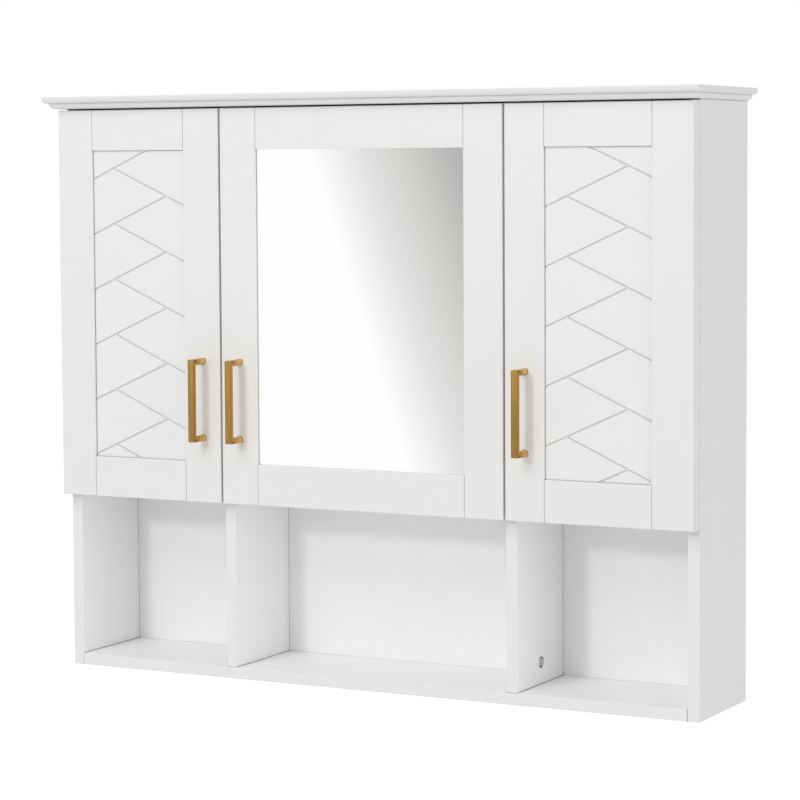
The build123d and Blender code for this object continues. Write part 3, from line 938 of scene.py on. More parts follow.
def carve(shape: Shape, cutters: list[Shape]) -> Shape:
    """Cut some shapes out of another.

    Args:
        shape: The shape that is cut, which is used up.
        cutters: The shapes taken out of it, which are used up.

    Returns:
        The cut shape.
    """
    made = []
    for part in (shape, *cutters):
        bmesh.ops.recalc_face_normals(part, faces=part.faces)
        made.append(add_object("carving", settle(part, "carving")))
    for cutter in made[1:]:
        cut = made[0].modifiers.new("cut", "BOOLEAN")
        cut.operation, cut.solver, cut.object = "DIFFERENCE", "EXACT", cutter
    result = bmesh.new()
    result.from_object(made[0], bpy.context.evaluated_depsgraph_get())
    for part in made:
        mesh = part.data
        bpy.data.objects.remove(part)
        bpy.data.meshes.remove(mesh)
    return result


def add_prism(
    shape: Shape,
    place: Matrix,
    outline_mm: Outline,
    heights_mm: Pair,
    ease_mm: float,
) -> None:
    """Raise an outline into a plate with rounded edges.

    Args:
        shape: The shape that gets the plate.
        place: The frame whose XY plane holds the outline.
        outline_mm: The outline's corners in order.
        heights_mm: The heights of the plate's lower and upper face.
        ease_mm: The rounding of its edges.
    """
    part = bmesh.new()
    caps = skin(part, place, [[(x, y, height) for x, y in outline_mm] for height in heights_mm])
    bmesh.ops.recalc_face_normals(part, faces=part.faces)
    rims = {edge for face in caps for edge in face.edges}
    corners = {
        edge
        for edge in part.edges
        if edge not in rims and degrees(edge.calc_face_angle(0.0)) > CORNER_TURN
    }
    ease(part, rims | corners, ease_mm)
    mesh = settle(part, "plate")
    shape.from_mesh(mesh)
    bpy.data.meshes.remove(mesh)


def around(circles_mm: list[Triple], steps: int = 72) -> Outline:
    """Draw the outline of a tight band round some circles, by how far each way it reaches.

    Args:
        circles_mm: Each circle's middle and radius.
        steps: The number of directions that are looked in.

    Returns:
        The outline's corners in order.
    """
    outline = []
    for step in range(steps):
        i, j = cos(2 * pi * step / steps), sin(2 * pi * step / steps)
        x, y, radius = max(circles_mm, key=lambda c: c[0] * i + c[1] * j + c[2])
        outline.append((x + radius * i, y + radius * j))
    return outline


def dome(radius_mm: float, drop_mm: float, powers: Pair, steps: int) -> Outline:
    """Draw half of a dome's outline, from its top out to its rim.

    Args:
        radius_mm: The dome's radius.
        drop_mm: How far it falls to its rim.
        powers: How flat its top is, and how full its shoulder.
        steps: The number of steps.

    Returns:
        Pairs of radius and height, with the top at 0.
    """
    flat, full = powers
    shares = [step / steps for step in range(steps + 1)]
    return [(radius_mm * s, -drop_mm * (1 - (1 - s**flat) ** (1 / full))) for s in shares]


@dataclass
class MouldedTop:
    """The top panel, whose front and ends carry two rounds with a step between them."""

    node: str = "top_panel"
    fillet_mm: float = 1.0
    upper_width_mm: float = 5.0
    upper_height_mm: float = 7.0
    step_mm: float = 2.0
    lower_width_mm: float = 6.0
    arris_mm: float = 0.4
    arris_share: float = 0.3
    round_steps: int = 14
    sharp_above: float = 28.0

    def profile(self, foot: float, top: float) -> Outline:
        """Return the moulding's outline from its top arris down to its foot.

        Args:
            foot: The height of the panel's underside.
            top: The height of its top.

        Returns:
            Pairs in metres: how far in from the panel's outer edge, and the height.
        """
        upper_head = top - self.fillet_mm * MM
        upper_foot = top - (self.fillet_mm + self.upper_height_mm) * MM
        lower_start = (self.upper_width_mm + self.step_mm) * MM
        arris = self.arris_mm * MM
        cut = arris * self.arris_share
        outline = [(arris, top), (cut, top - cut), (0.0, top - arris)]
        rounds = (
            (0.0, self.upper_width_mm * MM, upper_head, upper_foot),
            (lower_start, self.lower_width_mm * MM, upper_foot, foot),
        )
        for start, width, head, heel in rounds:
            for step in range(self.round_steps + 1):
                turn = step / self.round_steps * pi / 2
                inset = start + width * (1 - cos(turn))
                outline.append((inset, head - (head - heel) * sin(turn)))
        return outline

    def build(self) -> Thing:
        """Sweep the outline round the front and the ends, with mitred corners.

        Returns:
            The finished piece.
        """
        low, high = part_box(self.node)
        shape, rings = bmesh.new(), []
        for inset, height in self.profile(low.z, high.z):
            side, front = high.x - inset, low.y + inset
            plan = ((side, high.y), (side, front), (-side, front), (-side, high.y))
            rings.append([shape.verts.new((x, y, height)) for x, y in plan])
        for upper, lower in zip(rings, rings[1:]):
            for near, far in ((0, 1), (1, 2), (2, 3)):
                shape.faces.new((upper[near], upper[far], lower[far], lower[near]))
        shape.faces.new(rings[0])
        shape.faces.new(reversed(rings[-1]))
        shape.faces.new([ring[0] for ring in rings] + [ring[3] for ring in reversed(rings)])
        finishes = (SHADED_TOP_LACQUER,)
        return make_piece(
            shape, "moulded_top", CARCASS, Slot.BOARD, self.node, finishes, self.sharp_above
        )


@dataclass
class BarHandle:
    """A flat bar on two legs, each leg flat outside and round inside."""

    side: Side
    width_mm: float = 9.0
    bar_mm: float = 6.0
    leg_mm: float = 7.5
    leg_arris_mm: float = 0.315
    edge_mm: float = 0.9
    edge_steps: int = 4
    strips: tuple[float, ...] = (-0.5, -0.25, 0.0, 0.25, 0.5)
    leg_steps: int = 18
    highlight_ramp_mm: float = 2.0
    edge_shade_from: float = 0.45
    node: str = field(init=False)
    low: Vector = field(init=False)
    high: Vector = field(init=False)

    def __post_init__(self) -> None:
        """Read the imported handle's corners, and draw them in to the bar's width."""
        self.node = f"{self.side.value}_handle"
        self.low, self.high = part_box(self.node)
        middle_x, half = (self.low.x + self.high.x) / 2, self.width_mm * MM / 2
        self.low.x, self.high.x = middle_x - half, middle_x + half

    def add_bar(self, shape: Shape) -> None:
        """Add the bar, with all its edges rubbed round, and cut it into strips.

        Args:
            shape: The handle's shape, empty so far.
        """
        rear = self.low.y + self.bar_mm * MM
        add_box(shape, self.low, Vector((self.high.x, rear, self.high.z)))
        ease(shape, shape.edges, self.edge_mm, self.edge_steps)
        middle_x, half = (self.low.x + self.high.x) / 2, self.width_mm * MM / 2
        for share in self.strips:
            bmesh.ops.bisect_plane(
                shape,
                geom=[*shape.verts, *shape.edges, *shape.faces],
                plane_co=(middle_x + share * half, 0, 0),
                plane_no=(1, 0, 0),
            )

    def add_leg(self, shape: Shape, end: float, inward: int) -> None:
        """Add one leg, from the door's face into the bar.

        Args:
            shape: The handle's shape so far.
            end: The height of the leg's flat outer face.
            inward: 1 if the handle's middle is above that face, and -1 below.
        """
        half = self.width_mm * MM / 2
        straight = self.leg_mm * MM - half
        inset = self.leg_arris_mm * MM
        middle_x = (self.low.x + self.high.x) / 2
        outline = [(half - inset, 0.0), (half, inset)]
        for step in range(self.leg_steps + 1):
            turn = step / self.leg_steps * pi
            outline.append((half * cos(turn), straight + half * sin(turn)))
        outline += [(-half, inset), (-half + inset, 0.0)]
        rings = [
            [(middle_x + x, y, end + inward * z) for x, z in outline]
            for y in (self.high.y, self.low.y + self.bar_mm * MM / 2)
        ]
        skin(shape, Matrix(), rings)

    def build(self) -> Thing:
        """Join the bar and its legs, and mark how aged each place is, where the legs get a
        painted highlight and where the bar's edges get painted shade.

        Returns:
            The finished piece.
        """
        shape = bmesh.new()
        self.add_bar(shape)
        self.add_leg(shape, self.low.z, 1)
        self.add_leg(shape, self.high.z, -1)
        aged_to = self.low.y + self.bar_mm * MM
        middle_x, half = (self.low.x + self.high.x) / 2, self.width_mm * MM / 2
        # Painted light on the brass: the first mark is 1 on the aged bar and 0 on the legs,
        # which take a painted highlight; the second paints shade down the bar's two sides.
        bar_age_and_leg_highlight = shape.verts.layers.float.new("bar_age_and_leg_highlight")
        edge = shape.verts.layers.float.new("edge")
        for corner in shape.verts:
            share = (aged_to - corner.co.y) / (self.highlight_ramp_mm * MM)
            corner[bar_age_and_leg_highlight] = min(1.0, max(0.0, share))
            past = abs(corner.co.x - middle_x) / half - self.edge_shade_from
            corner[edge] = max(0.0, past) / (1 - self.edge_shade_from)
        name = f"{self.side.value}_bar_handle"
        return make_piece(shape, name, self.side.body, Slot.BRASS, self.node)


@dataclass
class MirrorPlate:
    """The middle door's mirror: a silvered face, with ground edges and a ground back."""

    node: str = "mirror_glass"
    arris_mm: float = 0.5

    def build(self) -> Thing:
        """Cut the plate and grind its front arris.

        Returns:
            The finished piece.
        """
        low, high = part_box(self.node)
        shape = bmesh.new()
        add_box(shape, low, high)
        front = low.y + FLUSH
        rim = [e for e in shape.edges if all(v.co.y < front for v in e.verts)]
        ease(shape, rim, self.arris_mm, steps=1)
        shape.normal_update()
        for face in shape.faces:
            face.material_index = 0 if face.normal.y < FRONTAL else 1
        finishes = (MIRROR, GLASS_EDGE)
        body = Side.MIDDLE.body
        return make_piece(shape, "mirror_plate", body, Slot.MIRROR, self.node, finishes)


@dataclass(frozen=True)
class CrossHeaded(ABC):
    """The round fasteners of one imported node, each with a cross sunk in its outer end."""

    node: str
    body: str
    name: str = ""
    slot: Slot = Slot.STEEL
    told_by: OuterEnd = OuterEnd.WIDER
    cross_mouth_mm: Triple = (4.84, 1.05, 0.2)
    cross_floor_mm: Triple = (1.32, 0.55, -1.5)
    flats: int = 28

    @abstractmethod
    def outline(self, length_mm: float) -> Outline:
        """Return one fastener's outline, from its outer end to its inner one.

        Args:
            length_mm: The fastener's whole length.

        Returns:
            Pairs of radius and height, with the outer end at 0.
        """

    def build(self) -> Thing:
        """Turn the fasteners and sink their crosses.

        Returns:
            The finished piece.
        """
        shape, bars = bmesh.new(), [bmesh.new(), bmesh.new()]
        for seat in find_seats(self.node, self.told_by):
            place = seat.place()
            add_turned(shape, place, self.outline(seat.length_mm), self.flats)
            for number, bar in enumerate(bars):
                turned = place @ Matrix.Rotation(pi / 4 + number * pi / 2, 4, "Z")
                add_wedge(bar, turned, self.cross_mouth_mm, self.cross_floor_mm)
        cut = carve(shape, bars)
        name = self.name or f"{self.node}_cross_headed"
        return make_piece(cut, name, self.body, self.slot, self.node)


@dataclass(frozen=True)
class ScrewSet(CrossHeaded):
    """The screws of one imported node, with pan heads."""

    head_mm: float = 3.4
    head_height_mm: float = 1.4
    shank_mm: float = 1.75
    dome_share: float = 0.75
    dome_powers: Pair = (3.0, 2.2)
    dome_steps: int = 7
    point_share: float = 1.4

    def outline(self, length_mm: float) -> Outline:
        """Return one screw's outline, from the top of its head to its point.

        Args:
            length_mm: The screw's whole length.

        Returns:
            Pairs of radius and height, with the head's top at 0.
        """
        drop = self.head_height_mm * self.dome_share
        foot, tip = -self.head_height_mm, self.shank_mm * self.point_share
        return [
            *dome(self.head_mm, drop, self.dome_powers, self.dome_steps),
            (self.head_mm, foot),
            (self.shank_mm, foot),
            (self.shank_mm, tip - length_mm),
            (0.0, -length_mm),
        ]


@dataclass(frozen=True)
class CamDrums(CrossHeaded):
    """The cam locks: die-cast drums with a moat inside the rim."""

    node: str = "cam_locks"
    body: str = CARCASS
    name: str = "cam_lock_drums"
    slot: Slot = Slot.ZINC
    told_by: OuterEnd = OuterEnd.BUSIER
    cross_mouth_mm: Triple = (5.0, 1.1, 0.2)
    cross_floor_mm: Triple = (2.25, 0.77, -2.6)
    flats: int = 48
    radius_mm: float = 7.4
    rim_mm: float = 0.8
    moat_mm: float = 1.8
    moat_depth_mm: float = 4.5
    hole_mm: float = 1.6
    hole_depth_mm: float = 4.5
    sunk_mm: float = 0.2
    arris_mm: float = 0.3

    def outline(self, length_mm: float) -> Outline:
        """Return the drum's outline, from the middle of its face to its back.

        Args:
            length_mm: The drum's length.

        Returns:
            Pairs of radius and height, with the rim's top at 0.
        """
        inner = self.radius_mm - self.rim_mm
        boss = inner - self.moat_mm
        sunk, arris = self.sunk_mm, self.arris_mm
        return [
            (0.0, -self.hole_depth_mm),
            (self.hole_mm, -self.hole_depth_mm),
            (self.hole_mm, -sunk - arris),
            (self.hole_mm + arris, -sunk),
            (boss - 2 * sunk, -sunk),
            (boss, -3 * sunk),
            (boss, -self.moat_depth_mm),
            (inner, -self.moat_depth_mm),
            (inner, -arris),
            (inner + sunk, 0.0),
            (self.radius_mm - arris, 0.0),
            (self.radius_mm, -arris),
            (self.radius_mm, -length_mm),
            (0.0, -length_mm),
        ]


@dataclass(frozen=True)
class Bumpers:
    """The two domed pads on a door's back."""

    side: Side
    radius_mm: float = 4.0
    dome_powers: Pair = (2.4, 2.0)
    dome_steps: int = 9
    flats: int = 36

    def build(self) -> Thing:
        """Cast the domes.

        Returns:
            The finished piece.
        """
        node = f"{self.side.value}_door_bumpers"
        shape = bmesh.new()
        for seat in find_seats(node, OuterEnd.REAR):
            height = seat.length_mm
            outline = dome(self.radius_mm, height, self.dome_powers, self.dome_steps)
            add_turned(shape, seat.place(), [*outline, (0.0, -height)], self.flats)
        name = f"{self.side.value}_domed_bumpers"
        return make_piece(shape, name, self.side.body, Slot.PAD, node)


@dataclass(frozen=True)
class ShelfPins:
    """The pins under the adjustable shelves: a stud, and a spoon on a gusset."""

    node: str = "shelf_pins"
    stud_mm: float = 2.5
    ledge_mm: float = 8.0
    corner_mm: float = 2.0
    spoon_mm: float = 1.4
    gusset_mm: float = 2.6
    gusset_reach_mm: float = 6.4
    gusset_top_mm: float = 1.6
    root_mm: float = 0.8
    tip_mm: float = 0.6
    ease_mm: float = 0.3

    def build(self) -> Thing:
        """Press the pins.

        Returns:
            The finished piece.
        """
        shape = bmesh.new()
        up = Vector((0, 0, 1))
        half, radius, ease_mm = self.ledge_mm / 2, self.stud_mm, self.ease_mm
        plan = [
            (0.0, -half),
            (self.ledge_mm - self.corner_mm, -half),
            (self.ledge_mm, self.corner_mm - half),
        ]
        plan += [(x, -y) for x, y in reversed(plan)]
        gusset = [
            (0.0, -radius),
            (self.gusset_top_mm, -radius),
            (self.gusset_reach_mm, self.gusset_top_mm),
            (0.0, self.gusset_top_mm),
        ]
        thickness = (-self.gusset_mm / 2, self.gusset_mm / 2)
        for solid in separate_solids(self.node):
            low, high = span(solid)
            wide_low = any(abs(c.x - low.x) < FLUSH and abs(c.y - low.y) < FLUSH for c in solid)
            out = Vector((-1 if wide_low else 1, 0, 0))
            root = (low + high) / 2
            root.x = (low.x if wide_low else high.x) - out.x * self.ledge_mm * MM
            flat = frame_at(root, out, up.cross(out))
            add_prism(shape, flat, plan, (radius - self.spoon_mm, radius), ease_mm)
            add_prism(shape, frame_at(root, out, up), gusset, thickness, ease_mm)
            stud = (high.x - low.x) / MM - self.ledge_mm
            outline = [
                (0.0, -self.root_mm),
                (radius, -self.root_mm),
                (radius, stud - self.tip_mm),
                (radius - self.tip_mm, stud),
                (0.0, stud),
            ]
            add_turned(shape, Seat(root, -out).place(), outline)
        return make_piece(shape, "spoon_shelf_pins", CARCASS, Slot.STEEL, self.node)


@dataclass
class DoorHinges:
    """A door's two cup hinges: pressed cups in the door, and folded arms on the carcass.

    A place on a hinge is given by u, which runs in from the door's hinge edge, and v,
    which runs back from the door's face. The small steps that the methods add to the
    sizes are pressed roundings and overlaps of a millimetre or so.
    """

    side: Side
    face_u_mm: float
    cup_u_mm: float = 20.5
    cup_mm: float = 17.5
    cup_floor_v_mm: float = 2.5
    cup_round_mm: float = 1.5
    door_mm: float = 18.0
    wall_mm: float = 0.7
    flange_mm: float = 1.0
    lip_mm: float = 0.8
    screw_u_mm: float = 26.0
    screw_z_mm: float = 24.0
    wing_mm: float = 6.0
    pivot_u_mm: float = 6.5
    pivot_v_mm: float = 5.8
    ear_end_u_mm: float = 9.9
    ear_mm: Pair = (3.9, 8.0)
    ear_ease_mm: float = 0.4
    arm_u_mm: float = 21.0
    arm_thick_mm: float = 2.0
    arm_high_mm: float = 12.0
    arm_ease_mm: float = 0.35
    knuckle_high_mm: float = 7.2
    knuckle_mm: float = 2.2
    knuckle_turns: Pair = (30.0, 330.0)
    knuckle_steps: int = 16
    wide_v_mm: float = 22.0
    crank_v_mm: float = 32.0
    arm_end_v_mm: float = 75.0
    block_mm: float = 6.0
    fold_mm: Pair = (1.1, 4.0)
    fold_ease_mm: float = 0.25
    hinge_x: float = field(init=False)
    face_y: float = field(init=False)
    into: Vector = field(init=False)
    levels: list[float] = field(init=False)

    def __post_init__(self) -> None:
        """Read where the door hangs from its packed stiles and hinge pins."""
        name = self.side.value
        low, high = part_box(f"{name}_door_hinge_stile")
        other_low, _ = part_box(f"{name}_door_handle_stile")
        self.into = Vector((1 if other_low.x > low.x else -1, 0, 0))
        self.hinge_x = low.x if self.into.x > 0 else high.x
        self.face_y = low.y
        pins = separate_solids(f"{name}_hinge_pins")
        self.levels = [sum(c.z for c in pin) / len(pin) for pin in pins]

    def spot(self, u_mm: float, v_mm: float, level: float) -> Vector:
        """Return a place on a hinge.

        Args:
            u_mm: How far in from the door's hinge edge.
            v_mm: How far back from its face.
            level: The height of the hinge's middle.

        Returns:
            The place in the cabinet.
        """
        return Vector((self.hinge_x + self.into.x * u_mm * MM, self.face_y + v_mm * MM, level))

    def level_place(self, level: float) -> Matrix:
        """Return the frame whose X is u, whose Y is v and whose Z runs up or down.

        Args:
            level: The height of the hinge's middle.

        Returns:
            The frame, in millimetres.
        """
        return frame_at(self.spot(0.0, 0.0, level), self.into, BACK)

    def add_cup(self, shape: Shape, level: float) -> None:
        """Add one cup, pressed in one piece with its flange, and its two ears.

        Args:
            shape: The door's hinge cups so far.
            level: The height of the hinge's middle.
        """
        mouth = self.spot(self.cup_u_mm, self.door_mm, level)
        place = frame_at(mouth, self.into, BACK.cross(self.into))
        screw_x = self.screw_u_mm - self.cup_u_mm
        wings = [(screw_x, sign * self.screw_z_mm, self.wing_mm) for sign in (-1, 1)]
        band = around([(0.0, 0.0, self.cup_mm), *wings])
        outer, inner, top = self.cup_mm, self.cup_mm - self.wall_mm, self.flange_mm
        floor = self.cup_floor_v_mm - self.door_mm
        bed = floor + self.wall_mm
        # Each section is a circle's radius, or else a share of the flange's outline,
        # and its height over the cup's mouth.
        sections = [
            (0.0, 0.0, bed),
            (inner - self.cup_round_mm, 0.0, bed),
            (inner, 0.0, bed + self.cup_round_mm),
            (inner, 0.0, -self.lip_mm),
            (inner - self.lip_mm * 0.3, 0.0, top * 0.4),
            (inner - self.lip_mm * 0.1, 0.0, top),
            (outer - 0.1, 0.0, top),
            (0.0, 0.985, top),
            (0.0, 1.0, top * 0.6),
            (0.0, 1.0, 0.0),
            (outer - 0.2, 0.0, 0.0),
            (outer, 0.0, -0.2),
            (outer, 0.0, floor + self.cup_round_mm),
            (outer - self.cup_round_mm, 0.0, floor),
            (0.0, 0.0, floor),
        ]
        rings = []
        for radius, share, height in sections:
            scales = [share or radius / hypot(*spot) for spot in band]
            ring = [(x * s, y * s, height) for (x, y), s in zip(band, scales)]
            rings.append(ring if radius or share else [(0.0, 0.0, height)])
        skin(shape, place, rings)
        start = self.cup_u_mm - self.cup_mm + self.wall_mm * 2
        foot, end = self.cup_floor_v_mm + self.wall_mm * 0.5, self.ear_end_u_mm
        plan = [
            (start, foot),
            (end, foot),
            (end, self.door_mm - 3.0),
            (end - 2.0, self.door_mm - 1.0),
            (start + 1.0, self.door_mm - 1.0),
            (start, self.door_mm - 2.0),
        ]
        near, far = self.ear_mm
        for heights in ((near, far), (-far, -near)):
            add_prism(shape, self.level_place(level), plan, heights, self.ear_ease_mm)

    def add_arm(self, shape: Shape, level: float) -> None:
        """Add one arm: a knuckle strip, then a wider strip folded over the plate.

        Args:
            shape: The door's hinge arms so far.
            level: The height of the hinge's middle.
        """
        place = self.level_place(level)
        thick, start, wide_v = self.arm_thick_mm, self.arm_u_mm, self.wide_v_mm
        pivot_u, pivot_v, radius = self.pivot_u_mm, self.pivot_v_mm, self.knuckle_mm
        first, last = map(radians, self.knuckle_turns)
        steps = self.knuckle_steps
        turns = [first + step * (last - first) / steps for step in range(steps + 1)]
        knuckle = [(pivot_u + radius * cos(t), pivot_v + radius * sin(t)) for t in turns]
        strip = knuckle + [
            (start + thick - 1.2, pivot_v - thick / 2),
            (start + thick, pivot_v - thick / 2 + 1.2),
            (start + thick, wide_v + 1.0),
            (start, wide_v + 1.0),
            (start, pivot_v + thick / 2 + 0.8),
            (start - 0.8, pivot_v + thick / 2),
        ]
        half = self.knuckle_high_mm / 2
        add_prism(shape, place, strip, (-half, half), self.arm_ease_mm)
        rear, crank, end = self.face_u_mm + self.block_mm, self.crank_v_mm, self.arm_end_v_mm
        wide = [
            (start, wide_v),
            (start + thick, wide_v),
            (rear + thick, crank),
            (rear + thick, end),
            (rear, end),
            (rear, crank),
        ]
        half = self.arm_high_mm / 2
        add_prism(shape, place, wide, (-half, half), self.arm_ease_mm)
        thin, drop = self.fold_mm
        fold = [
            (rear + thick * 0.7, crank + 1.0),
            (rear + thick * 0.7, end - 0.6),
            (rear - drop + 1.5, end - 0.6),
            (rear - drop, end - 3.0),
            (rear - drop, crank + 6.0),
        ]
        for near in (half, -half - thin):
            add_prism(shape, place, fold, (near, near + thin), self.fold_ease_mm)

    def build(self) -> list[Thing]:
        """Press the door's cups, and fold the arms, which stay on the carcass.

        Returns:
            The two finished pieces.
        """
        cups, arms, name = bmesh.new(), bmesh.new(), self.side.value
        for level in self.levels:
            self.add_cup(cups, level)
            self.add_arm(arms, level)
        rows = (
            (cups, "pressed_cups", self.side.body, "hinge_cups"),
            (arms, "folded_arms", CARCASS, "hinge_arms"),
        )
        return [
            make_piece(shape, f"{name}_{made}", body, Slot.STEEL, f"{name}_{node}")
            for shape, made, body, node in rows
        ]


@dataclass(frozen=True)
class HingePlates:
    """The hinge plates of all doors: two rounded wings and a block under the arm."""

    hinges: tuple[DoorHinges, ...]
    node: str = "hinge_plates"
    plate_v_mm: float = 57.0
    wing_z_mm: float = 16.0
    wing_radius_mm: float = 7.5
    wing_mm: float = 2.5
    wing_flats: int = 48
    block_mm: Triple = (36.0, 12.0, 6.0)
    ease_mm: Pair = (0.5, 0.6)

    def build(self) -> Thing:
        """Press the plates.

        Returns:
            The finished piece.
        """
        shape = bmesh.new()
        ends = [(0.0, sign * self.wing_z_mm, self.wing_radius_mm) for sign in (-1, 1)]
        wings = around(ends, self.wing_flats)
        x, y, rise = self.block_mm[0] / 2, self.block_mm[1] / 2, self.block_mm[2]
        block = [(-x, -y), (x, -y), (x, y), (-x, y)]
        for hinge in self.hinges:
            for level in hinge.levels:
                spot = hinge.spot(hinge.face_u_mm, self.plate_v_mm, level)
                place = frame_at(spot, BACK, hinge.into.cross(BACK))
                add_prism(shape, place, wings, (0.0, self.wing_mm), self.ease_mm[0])
                add_prism(shape, place, block, (0.0, rise), self.ease_mm[1])
        return make_piece(shape, "pressed_hinge_plates", CARCASS, Slot.STEEL, self.node)


@dataclass(frozen=True)
class SoftLamp:
    """One round soft lamp that looks at the cabinet's middle."""

    name: str
    azimuth: float
    elevation: float
    distance: float
    size: float
    watts: float

    def build(self) -> Thing:
        """Hang the lamp; its azimuth is counted from straight ahead to the right.

        Returns:
            The lamp.
        """
        turn, rise = radians(self.azimuth), radians(self.elevation)
        away = Vector((sin(turn) * cos(rise), -cos(turn) * cos(rise), sin(rise)))
        data = bpy.data.lights.new(self.name, "AREA")
        data.shape, data.size, data.energy = "DISK", self.size, self.watts
        lamp = add_object(self.name, data)
        lamp.location = (CAD_BOX[0] + CAD_BOX[1]) / 2 + away * self.distance
        lamp.rotation_mode = "QUATERNION"
        lamp.rotation_quaternion = (-away).to_track_quat("-Z", "Y")
        return lamp


@dataclass
class Studio:
    """A pale floor, soft light and the photograph's own camera."""

    floor_drop: float = 1.1
    floor_size: float = 30.0
    floor_tint: str = "#F4F4F3"
    floor_roughness: float = 0.9
    floor_lift: float = 0.55
    light_level: float = 0.545
    lamps: tuple[SoftLamp, ...] = (
        SoftLamp("key_lamp", -12.0, 17.0, 5.2, 0.6, 46.0),
        SoftLamp("top_lamp", -10.0, 42.0, 5.2, 3.0, 64.0),
        SoftLamp("side_lamp", 78.0, 5.0, 5.2, 3.0, 52.0),
    )
    camera_place: Triple = (1.6181, -3.1072, 0.6467)
    camera_yaw: float = 27.982
    camera_pitch: float = -4.036
    camera_roll: float = -0.322
    lens_mm: float = 124.37
    sensor_mm: float = 36.0
    shift_y: float = -0.0494
    card_distance: float = 1.8
    card_size: float = 2.6
    card_slant: float = 0.346
    card_fade: Pair = (0.5, 1.25)
    card_stops: tuple[tuple[float, str], ...] = (
        (0.0, "#FFFFFF"),
        (0.02, "#FBFAF9"),
        (0.11, "#E4E3E2"),
        (0.213, "#CFCECC"),
        (0.3, "#B8B7B6"),
        (0.4, "#ABABAA"),
    )

    def build_world(self) -> None:
        """Light everything evenly, and show plain white to the eye and to reflections."""
        world = bpy.data.worlds.new("studio_world")
        world.use_nodes = True
        bpy.context.scene.world = world
        tree = world.node_tree
        tree.nodes.clear()
        lit, seen = (
            add_node(tree, "ShaderNodeBackground", {"Color": WHITE, "Strength": strength})
            for strength in (self.light_level, 1.0)
        )
        shares = {0: self.seen_share(tree), 1: lit, 2: seen}
        mix = add_node(tree, "ShaderNodeMixShader", shares)
        add_node(tree, "ShaderNodeOutputWorld", {"Surface": mix})

    def seen_share(self, tree: Tree) -> bpy.types.Node:
        """Find 1 for rays from the camera, a reflection or a clear piece, and else 0.

        Args:
            tree: The node tree that needs to know.

        Returns:
            The node that holds that share.
        """
        path = add_node(tree, "ShaderNodeLightPath").outputs
        rays = {0: path["Is Camera Ray"], 1: path["Is Glossy Ray"]}
        either = add_node(tree, "ShaderNodeMath", rays, operation="MAXIMUM")
        rays = {0: either, 1: path["Is Transmission Ray"]}
        return add_node(tree, "ShaderNodeMath", rays, operation="MAXIMUM")

    def add_sheet(self, material: bpy.types.Material, size: float, up: Vector) -> Thing:
        """Lay a square sheet of the studio, named for its material.

        Args:
            material: What it is made of.
            size: Its side.
            up: The direction of its second side; the first runs along X.

        Returns:
            The new object.
        """
        half, across = size / 2, Vector((1, 0, 0))
        signs = ((-1, -1), (1, -1), (1, 1), (-1, 1))
        mesh = bpy.data.meshes.new(material.name)
        mesh.from_pydata([(across * i + up * j) * half for i, j in signs], [], [(0, 1, 2, 3)])
        mesh.materials.append(material)
        sheet = add_object(material.name, mesh)
        return sheet

    def build_floor(self) -> None:
        """Lay a white floor below the cabinet, which takes its shadow and has no underside."""
        material = bpy.data.materials.new("studio_floor")
        material.use_nodes = True
        tree = material.node_tree
        shader = tree.nodes["Principled BSDF"]
        lift = {0: self.seen_share(tree), 1: self.floor_lift}
        settings = {
            "Base Color": self.floor_tint,
            "Roughness": self.floor_roughness,
            "Emission Color": WHITE,
            "Emission Strength": add_node(tree, "ShaderNodeMath", lift, operation="MULTIPLY"),
        }
        feed(tree, shader, settings)
        sides = {
            0: add_node(tree, "ShaderNodeNewGeometry").outputs["Backfacing"],
            1: shader,
            2: add_node(tree, "ShaderNodeBsdfTransparent"),
        }
        surface = {"Surface": add_node(tree, "ShaderNodeMixShader", sides)}
        feed(tree, tree.nodes["Material Output"], surface)
        floor = self.add_sheet(material, self.floor_size, BACK)
        floor.location.z = -self.floor_drop

    def build_camera(self) -> None:
        """Stand the camera where the photograph was taken from."""
        degrees_of = (self.camera_yaw, self.camera_pitch, self.camera_roll)
        yaw, pitch, roll = map(radians, degrees_of)
        ahead = Vector((-sin(yaw) * cos(pitch), cos(yaw) * cos(pitch), sin(pitch)))
        level = Vector((cos(yaw), sin(yaw), 0.0))
        upward = level.cross(ahead)
        right = level * cos(roll) + upward * sin(roll)
        top = upward * cos(roll) - level * sin(roll)
        data = bpy.data.cameras.new("photo_camera")
        data.lens, data.sensor_width, data.shift_y = self.lens_mm, self.sensor_mm, self.shift_y
        camera = add_object("photo_camera", data)
        turn = Matrix((right, top, -ahead)).transposed().to_4x4()
        camera.matrix_world = Matrix.Translation(self.camera_place) @ turn
        bpy.context.scene.camera = camera

    def build_card(self) -> None:
        """Stand a shaded card where the mirror looks, seen only in reflections."""
        low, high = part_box(MirrorPlate.node)
        eye, middle = Vector(self.camera_place), (low + high) / 2
        eye.y, middle.y = 2 * low.y - eye.y, low.y
        view = middle - eye
        card = self.add_sheet(self.card_material(), self.card_size, Vector((0, 0, 1)))
        card.location = eye + view * (1 + self.card_distance / view.length)
        for kind in ("camera", "diffuse", "transmission", "shadow", "volume_scatter"):
            setattr(card, f"visible_{kind}", False)

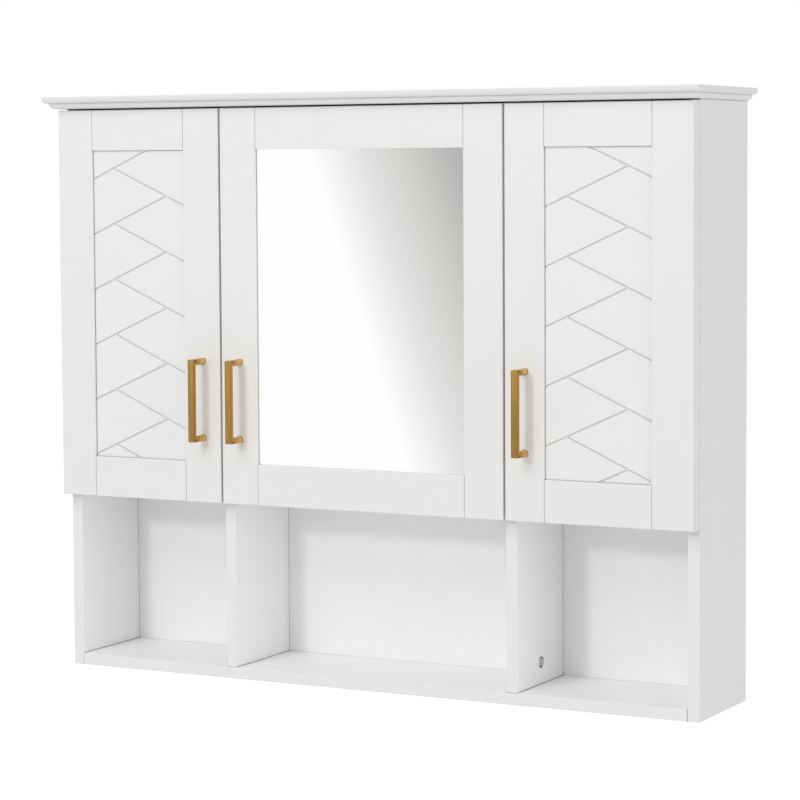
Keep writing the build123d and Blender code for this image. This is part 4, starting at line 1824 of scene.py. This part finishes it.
    def card_material(self) -> bpy.types.Material:
        """Shade the card from white to grey, and back to white round its border.

        Returns:
            The material.
        """
        material = bpy.data.materials.new("mirror_card")
        material.use_nodes = True
        tree = material.node_tree
        tree.nodes.clear()
        spot = add_node(tree, "ShaderNodeTexCoord").outputs["Object"]
        parts = add_node(tree, "ShaderNodeSeparateXYZ", {0: spot}).outputs
        slant = {0: parts["Z"], 1: self.card_slant, 2: parts["X"]}
        sweep = add_node(tree, "ShaderNodeMath", slant, operation="MULTIPLY_ADD")
        ramp = add_node(tree, "ShaderNodeValToRGB", {0: sweep})
        stops = ramp.color_ramp.elements
        for stop, (place, tint) in zip(stops, (self.card_stops[0], self.card_stops[-1])):
            stop.position, stop.color = place, linear(tint)
        for place, tint in self.card_stops[1:-1]:
            stops.new(place).color = linear(tint)
        out_by = add_node(tree, "ShaderNodeVectorMath", {0: spot}, operation="LENGTH")
        near, far = self.card_fade
        border = {"Value": out_by.outputs["Value"], "From Min": near, "From Max": far}
        fade = add_node(tree, "ShaderNodeMapRange", border, interpolation_type="SMOOTHSTEP")
        tones = {"Factor": fade, "A": ramp, "B": WHITE}
        tone = add_node(tree, "ShaderNodeMix", tones, data_type="RGBA")
        glow = add_node(tree, "ShaderNodeEmission", {"Color": tone})
        add_node(tree, "ShaderNodeOutputMaterial", {"Surface": glow})
        return material

    def build(self) -> None:
        """Set the whole studio and the plain view."""
        bpy.context.scene.view_settings.view_transform = "Standard"
        self.build_world()
        self.build_floor()
        for lamp in self.lamps:
            lamp.build()
        self.build_camera()
        self.build_card()


def main() -> None:
    """Build the studio and every dressed piece in order."""
    logging.basicConfig(level=logging.INFO, format="%(message)s")
    Studio().build()
    log.info("studio: set")
    log.info("packed nodes dressed: %d", dress_nodes())
    hinges = (
        DoorHinges(Side.LEFT, 15.0),
        DoorHinges(Side.MIDDLE, 6.25),
        DoorHinges(Side.RIGHT, 15.0),
    )
    pull = {"head_mm": 4.0, "head_height_mm": 2.3, "shank_mm": 2.0}
    pieces = [
        MouldedTop(),
        MirrorPlate(),
        *(BarHandle(side) for side in Side),
        CamDrums(),
        ShelfPins(),
        *(Bumpers(side) for side in Side),
        HingePlates(hinges),
        ScrewSet("hinge_plate_screws", CARCASS),
        ScrewSet("hinge_arm_screws", CARCASS, head_mm=3.6, head_height_mm=1.6, shank_mm=2.0),
        *(ScrewSet(f"{side.value}_hinge_cup_screws", side.body) for side in Side),
        *(ScrewSet(f"{side.value}_handle_screws", side.body, **pull) for side in Side),
    ]
    for piece in pieces:
        log.info("piece: %s", piece.build().name)
    for hinge in hinges:
        for made in hinge.build():
            log.info("piece: %s", made.name)


if __name__ == "__main__":
    main()
